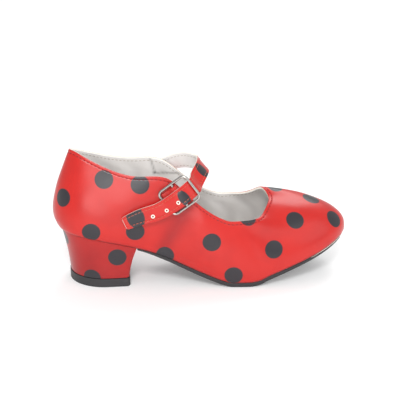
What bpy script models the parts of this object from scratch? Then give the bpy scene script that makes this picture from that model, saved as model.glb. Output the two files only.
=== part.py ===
"""Flamenco shoe for the right foot, as a maker puts it together.

Metres, +Z up, +X from the heel to the toe, +Y to the inner (medial) side. The floor is z = 0 and the
origin is the middle of the heel's tread. Every piece is one closed solid and one object.
"""

from collections import namedtuple
from math import cos, pi, radians, sin

import bmesh
import bpy
import numpy as np
from mathutils import Matrix, Vector

MM = 0.001

# The shoe as a whole
SHOE_LENGTH = 216 * MM      # back of the counter to the tip of the toe
BALL_WIDTH = 74 * MM        # across the feather line at the ball
BACK_REACH = 32 * MM        # from the middle of the heel's tread back to the counter
BACK_HEIGHT = 59 * MM       # counter, from the heel seat to the topline
HEEL_LIFT = 38 * MM         # how far the heel seat is raised above the ball
TOE_SPRING = 24 * MM        # how far the toe's feather line is raised above the ball
SEAM_GAP = 0.3 * MM         # between pieces that are glued or stitched together

# Walls and layers
UPPER_WALL = 1.8 * MM       # outer skin and lining together
OUTSOLE_THICKNESS = 3.4 * MM
OUTSOLE_INSET = 0.6 * MM    # the outsole's edge, inside the upper's edge
OUTSOLE_BEVEL = 0.7 * MM
INSOLE_THICKNESS = 2.2 * MM
INSOLE_CLEARANCE = 0.6 * MM

# The heel and its tread
HEEL_CAP_THICKNESS = 6.5 * MM
HEEL_CAP_LENGTH = 43.4 * MM
HEEL_CAP_WIDTH = 48 * MM
HEEL_CAP_LIP = 0.5 * MM     # the tread stands this far outside the covered heel
HEEL_CORNER = 3 * MM        # radius of the breast's corners
HEEL_WAIST = 0.8 * MM       # how hollow the heel's sides are
BREAST_REACH = 27 * MM      # heel breast at the top, in front of the origin
HEEL_INSET = 0.8 * MM       # the heel's top edge, inside the upper's edge
HEEL_BACK_REACH = 1.25      # length of the tread's round back, in shares of half the tread's length
HEEL_BEVEL = 0.5 * MM
HEEL_CAP_BEVEL = 0.6 * MM
HEEL_START = 0.004          # turns from the counter's middle to the heel's first points
INSOLE_START = 0.012

# The strap, its tab and its buckle
STRAP_WIDTH = 12.5 * MM
STRAP_TIP_WIDTH = 9.6 * MM
STRAP_TAPER = 24 * MM       # the tip narrows over this length
STRAP_THICKNESS = 1.8 * MM
STRAP_CORNER = 2.0 * MM     # radius at the tip
STRAP_EASE = 0.9 * MM       # room for its bend where it passes the buckle's ends
HOLE_DIAMETER = 2.4 * MM
HOLE_FROM_TIP = 21.5 * MM
HOLE_SPACING = 10.5 * MM
HOLES = 3
HOLE_DROP = 1.8 * MM        # the holes' row, below the strap's middle
BUCKLE_LENGTH = 26 * MM     # outside, along the strap
BUCKLE_WIDTH = 22 * MM      # outside, across it
BUCKLE_WIRE = 2.0 * MM
BUCKLE_BAR = 1.8 * MM
BUCKLE_CORNER = 3.5 * MM    # radius of the wire's middle line
BUCKLE_ALONG = 0.415        # where the middle bar lies, as the strap's rows do
BUCKLE_RISE = 0.907
BUCKLE_STAND_OFF = 4.6 * MM  # the bar's middle, from the quarter
STRAP_SHIFT = 1.3 * MM      # the strap runs this far below the bar's middle
BUCKLE_TURN = 37            # degrees that the strap falls towards the heel
BUCKLE_TILT = 12            # degrees that the frame's heel end sinks under the strap
TAB_WIDTH = 13 * MM
TAB_THICKNESS = 1.2 * MM
TAB_TAIL = 10 * MM          # from the bar to its stitched end
TAB_FOLD = 6 * MM           # the folded layer, from the bar
TAB_SHIFT = 1.2 * MM        # the tab sits this far above the bar's middle

HALF_WIDTH = BALL_WIDTH / 2
AXIS_START = -BACK_REACH
FLAT_START = 0.590          # the ball's flat spot, in shares of the shoe's length
FLAT_END = 0.650

# How the bottom rises, backward and forward from the ball's flat spot, in shares of that stretch
# and of HEEL_LIFT or TOE_SPRING.
Rise = namedtuple("Rise", "run height")
SHANK_CURVE = (
    Rise(0.00, 0.000),
    Rise(0.06, 0.050),
    Rise(0.14, 0.150),
    Rise(0.25, 0.310),
    Rise(0.37, 0.500),
    Rise(0.48, 0.650),
    Rise(0.60, 0.770),
    Rise(0.72, 0.865),
    Rise(0.86, 0.960),
    Rise(0.95, 1.010),
    Rise(1.00, 1.040),
)
TOE_CURVE = (
    Rise(0.00, 0.000),
    Rise(0.08, 0.035),
    Rise(0.20, 0.200),
    Rise(0.42, 0.435),
    Rise(0.64, 0.650),
    Rise(0.84, 0.860),
    Rise(1.00, 1.000),
)

# The upper, a column for each row: from its foot on the feather line it leaves outward and upward,
# and reaches its top on the topline. foot_x, top_x: shares of the length from the counter. foot_y,
# top_y, low_out, high_out: shares of half the ball width. low_up, high_drop, top_rise: shares of the
# back height. reach: how far the upper handle runs towards the foot, seen from above.
Column = namedtuple(
    "Column", "name foot_x foot_y low_out low_up reach high_out high_drop top_x top_y top_rise"
)
COLUMNS = (
    Column("counter",        0.018,  0.000, 0.25, 0.13, 0.00,  0.33, 0.500, 0.059,  0.000, 1.000),
    Column("outer_counter",  0.044, -0.430, 0.22, 0.13, 0.00,  0.30, 0.480, 0.077, -0.160, 1.010),
    Column("outer_heel",     0.153, -0.670, 0.13, 0.16, 0.00,  0.26, 0.420, 0.144, -0.350, 0.943),
    Column("outer_quarter",  0.268, -0.690, 0.11, 0.18, 0.00,  0.20, 0.380, 0.268, -0.540, 0.910),
    Column("outer_ear",      0.374, -0.700, 0.10, 0.18, 0.00,  0.15, 0.350, 0.373, -0.590, 1.028),
    Column("outer_waist",    0.472, -0.790, 0.10, 0.16, 0.00,  0.15, 0.280, 0.450, -0.690, 0.930),
    Column("outer_ball",     0.579, -0.920, 0.09, 0.16, 0.00,  0.14, 0.240, 0.549, -0.790, 0.808),
    Column("outer_joint",    0.704, -0.950, 0.09, 0.17, 0.25,  0.13, 0.170, 0.653, -0.700, 0.775),
    Column("outer_vamp",     0.847, -0.780, 0.08, 0.20, 0.55,  0.02, 0.050, 0.702, -0.440, 0.738),
    Column("outer_toe",      0.954, -0.420, 0.12, 0.24, 0.62,  0.00,  0.030, 0.727, -0.180, 0.775),
    Column("toe",            0.998,  0.110, 0.20, 0.25, 0.63,  0.00,  0.015, 0.733,  0.027, 0.805),
    Column("inner_toe",      0.961,  0.560, 0.12, 0.23, 0.60,  0.00,  0.050, 0.722,  0.180, 0.878),
    Column("inner_vamp",     0.863,  0.830, 0.09, 0.20, 0.50,  0.02,  0.100, 0.702,  0.320, 0.900),
    Column("inner_joint",    0.727,  0.915, 0.10, 0.21, 0.40,  0.12,  0.090, 0.658,  0.490, 0.850),
    Column("inner_ball",     0.607,  0.825, 0.12, 0.19, 0.00,  0.16, 0.230, 0.588,  0.610, 0.816),
    Column("inner_waist",    0.495,  0.655, 0.12, 0.17, 0.00,  0.12, 0.260, 0.495,  0.630, 0.830),
    Column("inner_ear",      0.402,  0.603, 0.12, 0.18, 0.00,  0.12, 0.340, 0.402,  0.590, 0.977),
    Column("inner_arch",     0.343,  0.603, 0.12, 0.18, 0.00,  0.14, 0.360, 0.352,  0.570, 0.992),
    Column("inner_quarter",  0.268,  0.630, 0.12, 0.18, 0.00,  0.18, 0.380, 0.274,  0.520, 0.914),
    Column("inner_heel",     0.153,  0.650, 0.13, 0.16, 0.00,  0.26, 0.420, 0.158,  0.350, 0.916),
    Column("inner_counter",  0.044,  0.430, 0.22, 0.13, 0.00,  0.30, 0.480, 0.077,  0.150, 0.976),
)
AROUND = 84                 # columns of faces round the upper
UPWARD = 12                 # rows of faces from the feather line to the topline

# The outsole's thickness along the shoe, in shares of the length in front of the breast
Layer = namedtuple("Layer", "run height")
OUTSOLE_TAPER = (
    Layer(0.00, 0.45),
    Layer(0.12, 0.80),
    Layer(0.32, 1.00),
    Layer(0.62, 1.00),
    Layer(0.80, 0.85),
    Layer(1.00, 0.75),
)

# The strap's middle line before and after the buckle. along: share of the length from the counter.
# across: share of half the ball width, or None where it lies on the quarter. rise: share of the back
# height above the feather line. stand_off: millimetres from the quarter. The lean is the direction
# of the strap's upper edge.
Turn = namedtuple("Turn", "name along across rise stand_off lean_x lean_y lean_z")
STRAP_BEFORE = (
    Turn("stitched_end",   0.333,  None, 0.660, 0.9, -0.45,  0.00, 0.90),
    Turn("stitched_box",   0.373,  None, 0.850, 0.9, -0.40, -0.10, 0.90),
    Turn("off_the_inside", 0.415, 0.705, 0.985, 0.0, -0.30, -0.15, 0.95),
    Turn("inner_side",     0.456, 0.690, 1.080, 0.0, -0.10, -0.12, 0.99),
    Turn("inner_bend",     0.492, 0.560, 1.135, 0.0, -0.20, -0.15, 0.97),
    Turn("over_the_foot",  0.506, 0.230, 1.205, 0.0, -0.62,  0.00, 0.78),
    Turn("outer_bend",     0.493, -0.180, 1.195, 0.0, -0.66,  0.20, 0.72),
    Turn("outer_side",     0.471, -0.490, 1.105, 0.0, -0.62,  0.25, 0.75),
)
STRAP_AFTER = (
    Turn("past_the_buckle",  0.350, None, 0.622, 4.2, -0.45, 0.20, 0.88),
    Turn("middle_of_tail",   0.296, None, 0.487, 3.2, -0.25, 0.20, 0.96),
    Turn("tip",              0.231, None, 0.324, 2.4, -0.15, 0.20, 0.97),
)


def steady_curve(rows, at):
    """A smooth curve through (run, height) rows that never overshoots: cubic pieces, limited slopes."""
    runs = [row.run for row in rows]
    heights = [row.height for row in rows]
    steps = [b - a for a, b in zip(runs, runs[1:])]
    grades = [(b - a) / step for a, b, step in zip(heights, heights[1:], steps)]
    slopes = [0.0] + [
        0.0 if a * b <= 0 else 2 * a * b / (a + b) for a, b in zip(grades, grades[1:])
    ] + [grades[-1]]
    at = min(max(at, runs[0]), runs[-1])
    i = max(k for k in range(len(steps)) if runs[k] <= at + 1e-12)
    t = (at - runs[i]) / steps[i]
    return (
        heights[i] * (1 + 2 * t) * (1 - t) ** 2
        + heights[i + 1] * t * t * (3 - 2 * t)
        + slopes[i] * steps[i] * t * (1 - t) ** 2
        - slopes[i + 1] * steps[i] * t * t * (1 - t)
    )


def closed_spline(knots, period, values, at):
    """The smooth closed curve through values at the knots, read at the points `at`."""
    values = np.asarray(values, float)
    knots = np.asarray(knots, float)
    count = len(knots)
    step = np.diff(np.append(knots, knots[0] + period))
    rise = (np.roll(values, -1, 0) - values) / step[:, None]
    system = np.zeros((count, count))
    for i in range(count):
        system[i, i - 1] += step[i - 1]
        system[i, i] += 2 * (step[i - 1] + step[i])
        system[i, (i + 1) % count] += step[i]
    bend = np.linalg.solve(system, 6 * (rise - np.roll(rise, 1, 0)))
    at = np.mod(np.asarray(at, float), period)
    i = np.searchsorted(knots, at, side="right") - 1
    j = (i + 1) % count
    h = step[i][:, None]
    a = (knots[i] + step[i] - at)[:, None] / h
    b = 1 - a
    return a * values[i] + b * values[j] + ((a**3 - a) * bend[i] + (b**3 - b) * bend[j]) * h * h / 6


def bottom_height(x):
    """Height of the feather line, where the upper meets the sole, at a place along the shoe."""
    share = (x - AXIS_START) / SHOE_LENGTH
    base = OUTSOLE_THICKNESS + SEAM_GAP
    if share < FLAT_START:
        return base + HEEL_LIFT * steady_curve(SHANK_CURVE, (FLAT_START - share) / FLAT_START)
    if share > FLAT_END:
        return base + TOE_SPRING * steady_curve(TOE_CURVE, (share - FLAT_END) / (1 - FLAT_END))
    return base


def place(share_x, share_y):
    return Vector((AXIS_START + share_x * SHOE_LENGTH, share_y * HALF_WIDTH))


def column_knots():
    feet = [place(c.foot_x, c.foot_y) for c in COLUMNS]
    gaps = [(b - a).length for a, b in zip(feet, feet[1:] + feet[:1])]
    return np.concatenate([[0.0], np.cumsum(gaps[:-1])]), sum(gaps)


KNOTS, PERIOD = column_knots()
SHAPES = np.array([list(c[1:]) for c in COLUMNS])


def columns_at(turns):
    """The columns' values at places round the shoe, in turns from the counter by the outer side."""
    return closed_spline(KNOTS, PERIOD, SHAPES, np.asarray(turns) * PERIOD)


def feather_line(turns, inset=0.0):
    """Points of the feather line seen from above, moved inward by inset."""
    ahead, behind = (columns_at(np.asarray(turns) + d)[:, :2] for d in (1e-4, -1e-4))
    scale = np.array([SHOE_LENGTH, HALF_WIDTH])
    points = columns_at(turns)[:, :2] * scale + [AXIS_START, 0]
    along = (ahead - behind) * scale
    along /= np.linalg.norm(along, axis=1)[:, None]
    outward = np.stack([along[:, 1], -along[:, 0]], axis=1)
    return points - outward * inset, outward


def upper_surface(turns, levels):
    """Outer surface of the upper as a grid of points: a row for each turn, from foot to top."""
    shapes = columns_at(turns)
    feet, outward = feather_line(turns)
    grid = np.zeros((len(turns), len(levels), 3))
    t = np.asarray(levels)[:, None]
    for k, row in enumerate(shapes):
        _, _, low_out, low_up, reach, high_out, high_drop, top_x, top_y, top_rise = row
        top = place(top_x, top_y)
        foot = Vector((*feet[k], bottom_height(feet[k][0])))
        top = Vector((*top, bottom_height(top.x) + top_rise * BACK_HEIGHT))
        out = Vector((*outward[k], 0)) * HALF_WIDTH
        low = foot + out * low_out + Vector((0, 0, low_up * BACK_HEIGHT))
        high = top + out * high_out - Vector((0, 0, high_drop * BACK_HEIGHT))
        high.xy += (foot.xy - top.xy) * reach
        p = [np.array(v) for v in (foot, low, high, top)]
        grid[k] = (
            (1 - t) ** 3 * p[0] + 3 * t * (1 - t) ** 2 * p[1] + 3 * t * t * (1 - t) * p[2] + t**3 * p[3]
        )
    return grid


def grid_normals(grid):
    """Outward unit normals of a grid that closes on itself along its first axis."""
    round_shoe = np.roll(grid, -1, 0) - np.roll(grid, 1, 0)
    upward = np.gradient(grid, axis=1)
    normals = np.cross(round_shoe, upward)
    return normals / np.linalg.norm(normals, axis=2)[:, :, None]


def new_object(name, mesh, material):
    obj = bpy.data.objects.new(name, mesh)
    bpy.data.collections["flamenco_shoe"].objects.link(obj)
    mesh.materials.append(material)
    return obj


def mesh_from(name, points, faces):
    mesh = bpy.data.meshes.new(name)
    mesh.from_pydata([tuple(p) for p in points], [], faces)
    work = bmesh.new()
    work.from_mesh(mesh)
    bmesh.ops.recalc_face_normals(work, faces=work.faces)
    work.to_mesh(mesh)
    work.free()
    mesh.shade_smooth()
    mesh.set_sharp_from_angle(angle=radians(40))
    return mesh


def material(name, colour, roughness, metallic=0.0):
    made = bpy.data.materials.new(name)
    made.use_nodes = True
    shader = made.node_tree.nodes["Principled BSDF"]
    shader.inputs["Base Color"].default_value = (*colour, 1)
    shader.inputs["Roughness"].default_value = roughness
    shader.inputs["Metallic"].default_value = metallic
    return made


def tube_of_rings(name, rings):
    """A closed solid from rings that close on themselves; the last ring joins the first."""
    count, size = len(rings), len(rings[0])
    points = [p for ring in rings for p in ring]
    faces = []
    for i in range(count):
        here = i * size
        after = (i + 1) % count * size
        for j in range(size):
            k = (j + 1) % size
            faces.append((here + j, here + k, after + k, after + j))
    return mesh_from(name, points, faces)


def make_upper(red):
    turns = np.arange(AROUND) / AROUND
    levels = np.linspace(0, 1, UPWARD + 1)
    outer = upper_surface(turns, levels)
    inner = outer - grid_normals(outer) * UPPER_WALL
    inner[:, 0, 2] = outer[:, 0, 2]
    rings = [outer[:, k] for k in range(UPWARD + 1)]
    rings += [inner[:, k] for k in range(UPWARD, -1, -1)]
    return new_object("upper", tube_of_rings("upper", rings), red)


def turn_at(x, side):
    """Where the feather line passes x on one side, in turns; side is -1 for the outer side."""
    turns = np.linspace(0, 1, 801)
    along = feather_line(turns)[0][:, 0]
    tip = int(np.argmax(along))
    if side < 0:
        return float(np.interp(x, along[: tip + 1], turns[: tip + 1]))
    return float(np.interp(x, along[:tip:-1], turns[:tip:-1]))


def tip_turn():
    turns = np.linspace(0.4, 0.6, 401)
    return float(turns[np.argmax(feather_line(turns)[0][:, 0])])


def paired_outline(starts, ends, shares, inset):
    """The feather line's two sides, point against point, from the starts to the ends."""
    sides = []
    for start, end in zip(starts, ends):
        turns = [start + (end - start) * share for share in shares]
        sides.append(feather_line(turns, inset)[0])
    return sides


def with_height(points, height):
    return np.array([(x, y, height(x)) for x, y in points])


def ladder_solid(name, sections):
    """A closed solid through sections; each is its two sides' points, joined across as a ladder."""
    count = len(sections[0][0])
    points = [p for outer, inner in sections for p in (*outer, *inner[::-1])]
    size = 2 * count
    faces = []
    for base in (0, (len(sections) - 1) * size):
        for i in range(count - 1):
            faces.append((base + i, base + i + 1, base + size - 2 - i, base + size - 1 - i))
    for level in range(len(sections) - 1):
        for i in range(size):
            j = (i + 1) % size
            low = level * size
            faces.append((low + i, low + j, low + size + j, low + size + i))
    return mesh_from(name, points, faces)


def bevelled(obj, width, segments=2, angle=40):
    bevel = obj.modifiers.new("rounded edges", "BEVEL")
    bevel.width = width
    bevel.segments = segments
    bevel.limit_method = "ANGLE"
    bevel.angle_limit = radians(angle)
    return obj


def make_outsole(black):
    starts = [turn_at(BREAST_REACH, side) for side in (-1, 1)]
    shares = np.concatenate([np.linspace(0, 0.8, 26), [0.85, 0.895, 0.93, 0.96, 0.985]])
    outer, inner = paired_outline(starts, [tip_turn()] * 2, shares, OUTSOLE_INSET)
    reach = AXIS_START + SHOE_LENGTH - BREAST_REACH

    def top(x):
        return bottom_height(x) - SEAM_GAP

    def bottom(x):
        return top(x) - OUTSOLE_THICKNESS * steady_curve(OUTSOLE_TAPER, (x - BREAST_REACH) / reach)

    sections = [[with_height(side, height) for side in (outer, inner)] for height in (top, bottom)]
    return bevelled(new_object("outsole", ladder_solid("outsole", sections), black), OUTSOLE_BEVEL)


def tread_outline(inset):
    """The heel's D seen from above: one side's points from the middle of the back to the breast."""
    half_length = HEEL_CAP_LENGTH / 2 - inset
    half_width = HEEL_CAP_WIDTH / 2 - inset
    round_reach = half_length * HEEL_BACK_REACH
    corner = HEEL_CORNER
    points = []
    for k in range(11):
        angle = pi / 2 * (0.04 + 0.96 * k / 10)
        points.append((-half_length + round_reach * (1 - cos(angle)), half_width * sin(angle)))
    for k in range(1, 3):
        reach = (half_length - corner) - (-half_length + round_reach)
        points.append((-half_length + round_reach + reach * k / 3, half_width))
    for k in range(5):
        angle = pi / 2 * k / 4
        along = half_length - corner + corner * sin(angle)
        points.append((along, half_width - corner * (1 - cos(angle))))
    return np.array(points)


def walked_shares(points):
    steps = np.linalg.norm(np.diff(points, axis=0), axis=1)
    walked = np.concatenate([[0], np.cumsum(steps)])
    return walked / walked[-1]


def make_heel(red):
    tread = tread_outline(HEEL_CAP_LIP)
    shares = walked_shares(tread)
    ends = [turn_at(BREAST_REACH - SEAM_GAP, side) for side in (-1, 1)]
    seat = paired_outline([HEEL_START, 1 - HEEL_START], ends, shares, HEEL_INSET)
    foot = HEEL_CAP_THICKNESS + SEAM_GAP
    levels = 7
    sections = []
    for k in range(levels):
        t = k / (levels - 1)
        hollow = HEEL_WAIST * sin(pi * t)
        section = []
        for side, mirror in zip(seat, (-1, 1)):
            ring = []
            for (x, y), (tread_x, tread_y) in zip(side, tread):
                top = bottom_height(x) - SEAM_GAP
                along = x + (tread_x - x) * t - hollow * tread_x / (HEEL_CAP_LENGTH / 2)
                side_y = tread_y * mirror
                across = y + (side_y - y) * t - hollow * side_y / (HEEL_CAP_WIDTH / 2)
                ring.append((along, across, top + (foot - top) * t))
            section.append(np.array(ring))
        sections.append(section)
    return bevelled(new_object("heel", ladder_solid("heel", sections), red), HEEL_BEVEL, 1, 50)


def make_heel_cap(black):
    tread = tread_outline(0)
    sections = [
        [np.array([(x, y * mirror, z) for x, y in tread]) for mirror in (-1, 1)]
        for z in (HEEL_CAP_THICKNESS, 0)
    ]
    heel_cap = new_object("heel_cap", ladder_solid("heel_cap", sections), black)
    return bevelled(heel_cap, HEEL_CAP_BEVEL, 2, 50)


def make_insole(lining):
    starts = [INSOLE_START, 1 - INSOLE_START]
    shares = np.concatenate([[0, 0.02, 0.045], np.linspace(0.08, 0.94, 26), [0.965, 0.985]])
    inset = UPPER_WALL + INSOLE_CLEARANCE
    outer, inner = paired_outline(starts, [tip_turn()] * 2, shares, inset)
    sections = [
        [with_height(side, lambda x, up=up: bottom_height(x) + up) for side in (outer, inner)]
        for up in (INSOLE_THICKNESS, SEAM_GAP / 2)
    ]
    return new_object("insole", ladder_solid("insole", sections), lining)


def quarter_point(x, z, side):
    """The point of the upper's outer surface at (x, z) on one side, and its outward normal."""
    turn = turn_at(x, side)
    level = 0.6
    nudge = 1e-3
    for _ in range(12):
        here = upper_surface([turn, turn + nudge], [level, level + nudge])
        by_turn = (here[1, 0] - here[0, 0]) / nudge
        by_level = (here[0, 1] - here[0, 0]) / nudge
        system = np.array([[by_turn[0], by_level[0]], [by_turn[2], by_level[2]]])
        step = np.linalg.solve(system, [x - here[0, 0, 0], z - here[0, 0, 2]])
        turn += step[0]
        level += step[1]
    normal = np.cross(by_turn, by_level)
    return Vector(here[0, 0]), Vector(normal).normalized()


def open_curve(points, count):
    """A smooth curve through points, any number of values each, at even steps of its length."""
    points = np.asarray(points, float)
    knots = np.concatenate([[0], np.cumsum(np.linalg.norm(np.diff(points[:, :3], axis=0), axis=1))])
    step = np.diff(knots)
    rise = np.diff(points, axis=0) / step[:, None]
    n = len(points)
    system = np.eye(n)
    wanted = np.zeros_like(points)
    for i in range(1, n - 1):
        system[i, i - 1] = step[i - 1]
        system[i, i] = 2 * (step[i - 1] + step[i])
        system[i, i + 1] = step[i]
        wanted[i] = 6 * (rise[i] - rise[i - 1])
    bend = np.linalg.solve(system, wanted)

    def at(t):
        i = min(int(np.searchsorted(knots, t, side="right")) - 1, n - 2)
        h = step[i]
        a, b = (knots[i + 1] - t) / h, (t - knots[i]) / h
        straight = a * points[i] + b * points[i + 1]
        return straight + ((a**3 - a) * bend[i] + (b**3 - b) * bend[i + 1]) * h * h / 6

    fine = np.linspace(0, knots[-1], 1200)
    rows = np.array([at(t) for t in fine])
    walked = np.concatenate([[0], np.cumsum(np.linalg.norm(np.diff(rows[:, :3], axis=0), axis=1))])
    even = np.interp(np.linspace(0, walked[-1], count), walked, fine)
    return np.array([at(t) for t in even]), walked[-1]


def buckle_axes():
    """The middle of the buckle's bar, and its directions: along the strap to the tip, across, outward."""
    x = AXIS_START + BUCKLE_ALONG * SHOE_LENGTH
    z = bottom_height(x) + BUCKLE_RISE * BACK_HEIGHT
    on_quarter, outward = quarter_point(x, z, -1)
    heelward = Vector((-cos(radians(BUCKLE_TURN)), 0, -sin(radians(BUCKLE_TURN))))
    along = (heelward - outward * heelward.dot(outward)).normalized()
    across = along.cross(outward)
    return on_quarter + outward * BUCKLE_STAND_OFF, along, across, outward


def tilted(direction, across):
    return Matrix.Rotation(radians(-BUCKLE_TILT), 3, across) @ direction


def strap_rows():
    """The strap's inner face: (point, direction of its upper edge) down its middle line."""
    rows = []

    def add(turn, side):
        x = AXIS_START + turn.along * SHOE_LENGTH
        z = bottom_height(x) + turn.rise * BACK_HEIGHT
        lean = Vector((turn.lean_x, turn.lean_y, turn.lean_z))
        if turn.across is None:
            on_quarter, outward = quarter_point(x, z, side)
            point = on_quarter + outward * turn.stand_off * MM
            lean -= outward * lean.dot(outward)
        else:
            point = Vector((x, turn.across * HALF_WIDTH, z))
        rows.append((*point, *lean))

    for turn in STRAP_BEFORE:
        add(turn, 1)
    middle, along, across, outward = buckle_axes()
    wire = BUCKLE_WIRE / 2
    end = BUCKLE_LENGTH / 2 - wire
    sink = end * sin(radians(BUCKLE_TILT))
    over_bar = wire + SEAM_GAP + TAB_THICKNESS + SEAM_GAP
    heights = (
        (-end, sink - wire - SEAM_GAP - STRAP_THICKNESS - 2 * STRAP_EASE),
        (-end * 0.05, over_bar),
        (end * 0.95, -sink + wire + SEAM_GAP + STRAP_EASE),
    )
    for reach, height in heights:
        point = middle + along * reach + outward * height - across * STRAP_SHIFT
        rows.append((*point, *across))
    for turn in STRAP_AFTER:
        add(turn, -1)
    return rows


def strap_frames(count):
    """Even places down the strap: its inner face's middle, tangent, upper edge's way and outward."""
    rows, length = open_curve(strap_rows(), count)
    points = rows[:, :3]
    tangents = np.gradient(points, axis=0)
    tangents /= np.linalg.norm(tangents, axis=1)[:, None]
    leans = rows[:, 3:] - tangents * (rows[:, 3:] * tangents).sum(1)[:, None]
    leans /= np.linalg.norm(leans, axis=1)[:, None]
    return points, tangents, leans, np.cross(leans, tangents), length


def make_strap(red, cutters):
    count = 73
    points, tangents, leans, outward, length = strap_frames(count)
    walked = np.linspace(0, length, count)
    half = STRAP_WIDTH / 2
    spread = (-1, -0.5, 0, 0.5, 1)
    grid = []
    for point, lean, at in zip(points, leans, walked):
        past = at - (length - STRAP_CORNER)
        cut = min(max(past, 0), STRAP_CORNER)
        corner = STRAP_CORNER - (STRAP_CORNER**2 - cut**2) ** 0.5
        narrowed = max(at - (length - STRAP_TAPER), 0) / STRAP_TAPER
        wide_here = half + (STRAP_TIP_WIDTH / 2 - half) * narrowed**1.5 - corner * 0.8
        grid += [point + lean * wide_here * share for share in spread]
    wide = len(spread)
    faces = [
        (i * wide + j, i * wide + j + 1, (i + 1) * wide + j + 1, (i + 1) * wide + j)
        for i in range(count - 1)
        for j in range(wide - 1)
    ]
    thick = []
    for k, way in enumerate(outward):
        thick += [grid[k * wide + j] + way * STRAP_THICKNESS for j in range(wide)]
    size = len(grid)
    rim = [j for j in range(wide)]
    rim += [i * wide + wide - 1 for i in range(1, count)]
    rim += [(count - 1) * wide + j for j in range(wide - 2, -1, -1)]
    rim += [i * wide for i in range(count - 2, 0, -1)]
    walls = [(a, b, b + size, a + size) for a, b in zip(rim, rim[1:] + rim[:1])]
    faces += [tuple(v + size for v in face) for face in faces]
    mesh = mesh_from("strap", grid + thick, faces + walls)
    strap = new_object("strap", mesh, red)
    for k in range(HOLES):
        at = length - HOLE_FROM_TIP - k * HOLE_SPACING
        row = points - leans * HOLE_DROP
        place_on = [np.interp(at, walked, row[:, axis]) for axis in range(3)]
        way = Vector([np.interp(at, walked, outward[:, axis]) for axis in range(3)]).normalized()
        bpy.ops.mesh.primitive_cylinder_add(
            vertices=12, radius=HOLE_DIAMETER / 2, depth=6 * STRAP_THICKNESS, location=place_on
        )
        cutter = bpy.context.object
        cutter.name = f"hole_cutter_{k + 1}"
        cutter.rotation_euler = way.to_track_quat("Z", "Y").to_euler()
        cutter.hide_render = True
        cutter.display_type = "WIRE"
        for held_by in list(cutter.users_collection):
            held_by.objects.unlink(cutter)
        cutters.objects.link(cutter)
        cut = strap.modifiers.new(f"hole {k + 1}", "BOOLEAN")
        cut.operation = "DIFFERENCE"
        cut.object = cutter
    return strap


def wire_mesh(name, points, closed, radius):
    """A closed mesh of a round wire along points, its caps welded."""
    data = bpy.data.curves.new(name, "CURVE")
    data.dimensions = "3D"
    data.bevel_depth = radius
    data.bevel_resolution = 2
    data.use_fill_caps = not closed
    spline = data.splines.new("POLY")
    spline.points.add(len(points) - 1)
    for held, point in zip(spline.points, points):
        held.co = (*point, 1)
    spline.use_cyclic_u = closed
    curve = bpy.data.objects.new(name, data)
    bpy.context.scene.collection.objects.link(curve)
    bpy.context.view_layer.update()
    depsgraph = bpy.context.evaluated_depsgraph_get()
    mesh = bpy.data.meshes.new_from_object(curve.evaluated_get(depsgraph))
    bpy.data.objects.remove(curve)
    work = bmesh.new()
    work.from_mesh(mesh)
    bmesh.ops.remove_doubles(work, verts=work.verts, dist=1e-6)
    bmesh.ops.recalc_face_normals(work, faces=work.faces)
    work.to_mesh(mesh)
    work.free()
    mesh.shade_smooth()
    mesh.set_sharp_from_angle(angle=radians(50))
    return mesh


def make_buckle(steel, cutters):
    middle, along, across, outward = buckle_axes()
    along = tilted(along, across)
    half_length = (BUCKLE_LENGTH - BUCKLE_WIRE) / 2
    half_width = (BUCKLE_WIDTH - BUCKLE_WIRE) / 2
    ring = []
    for corner_x, corner_y, start in ((1, 1, 0), (-1, 1, 90), (-1, -1, 180), (1, -1, 270)):
        centre = (corner_x * (half_length - BUCKLE_CORNER), corner_y * (half_width - BUCKLE_CORNER))
        for k in range(5):
            angle = radians(start + 22.5 * k)
            ring.append(
                middle
                + along * (centre[0] + BUCKLE_CORNER * cos(angle))
                + across * (centre[1] + BUCKLE_CORNER * sin(angle))
            )
    buckle = new_object("buckle", wire_mesh("buckle", ring, True, BUCKLE_WIRE / 2), steel)
    ends = [middle + across * half_width * side for side in (-1, 1)]
    bar_mesh = wire_mesh("buckle_bar", ends, False, BUCKLE_BAR / 2)
    bar = bpy.data.objects.new("buckle_bar", bar_mesh)
    bar.hide_render = True
    bar.display_type = "WIRE"
    cutters.objects.link(bar)
    join = buckle.modifiers.new("middle bar", "BOOLEAN")
    join.operation = "UNION"
    join.object = bar
    return buckle


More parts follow.
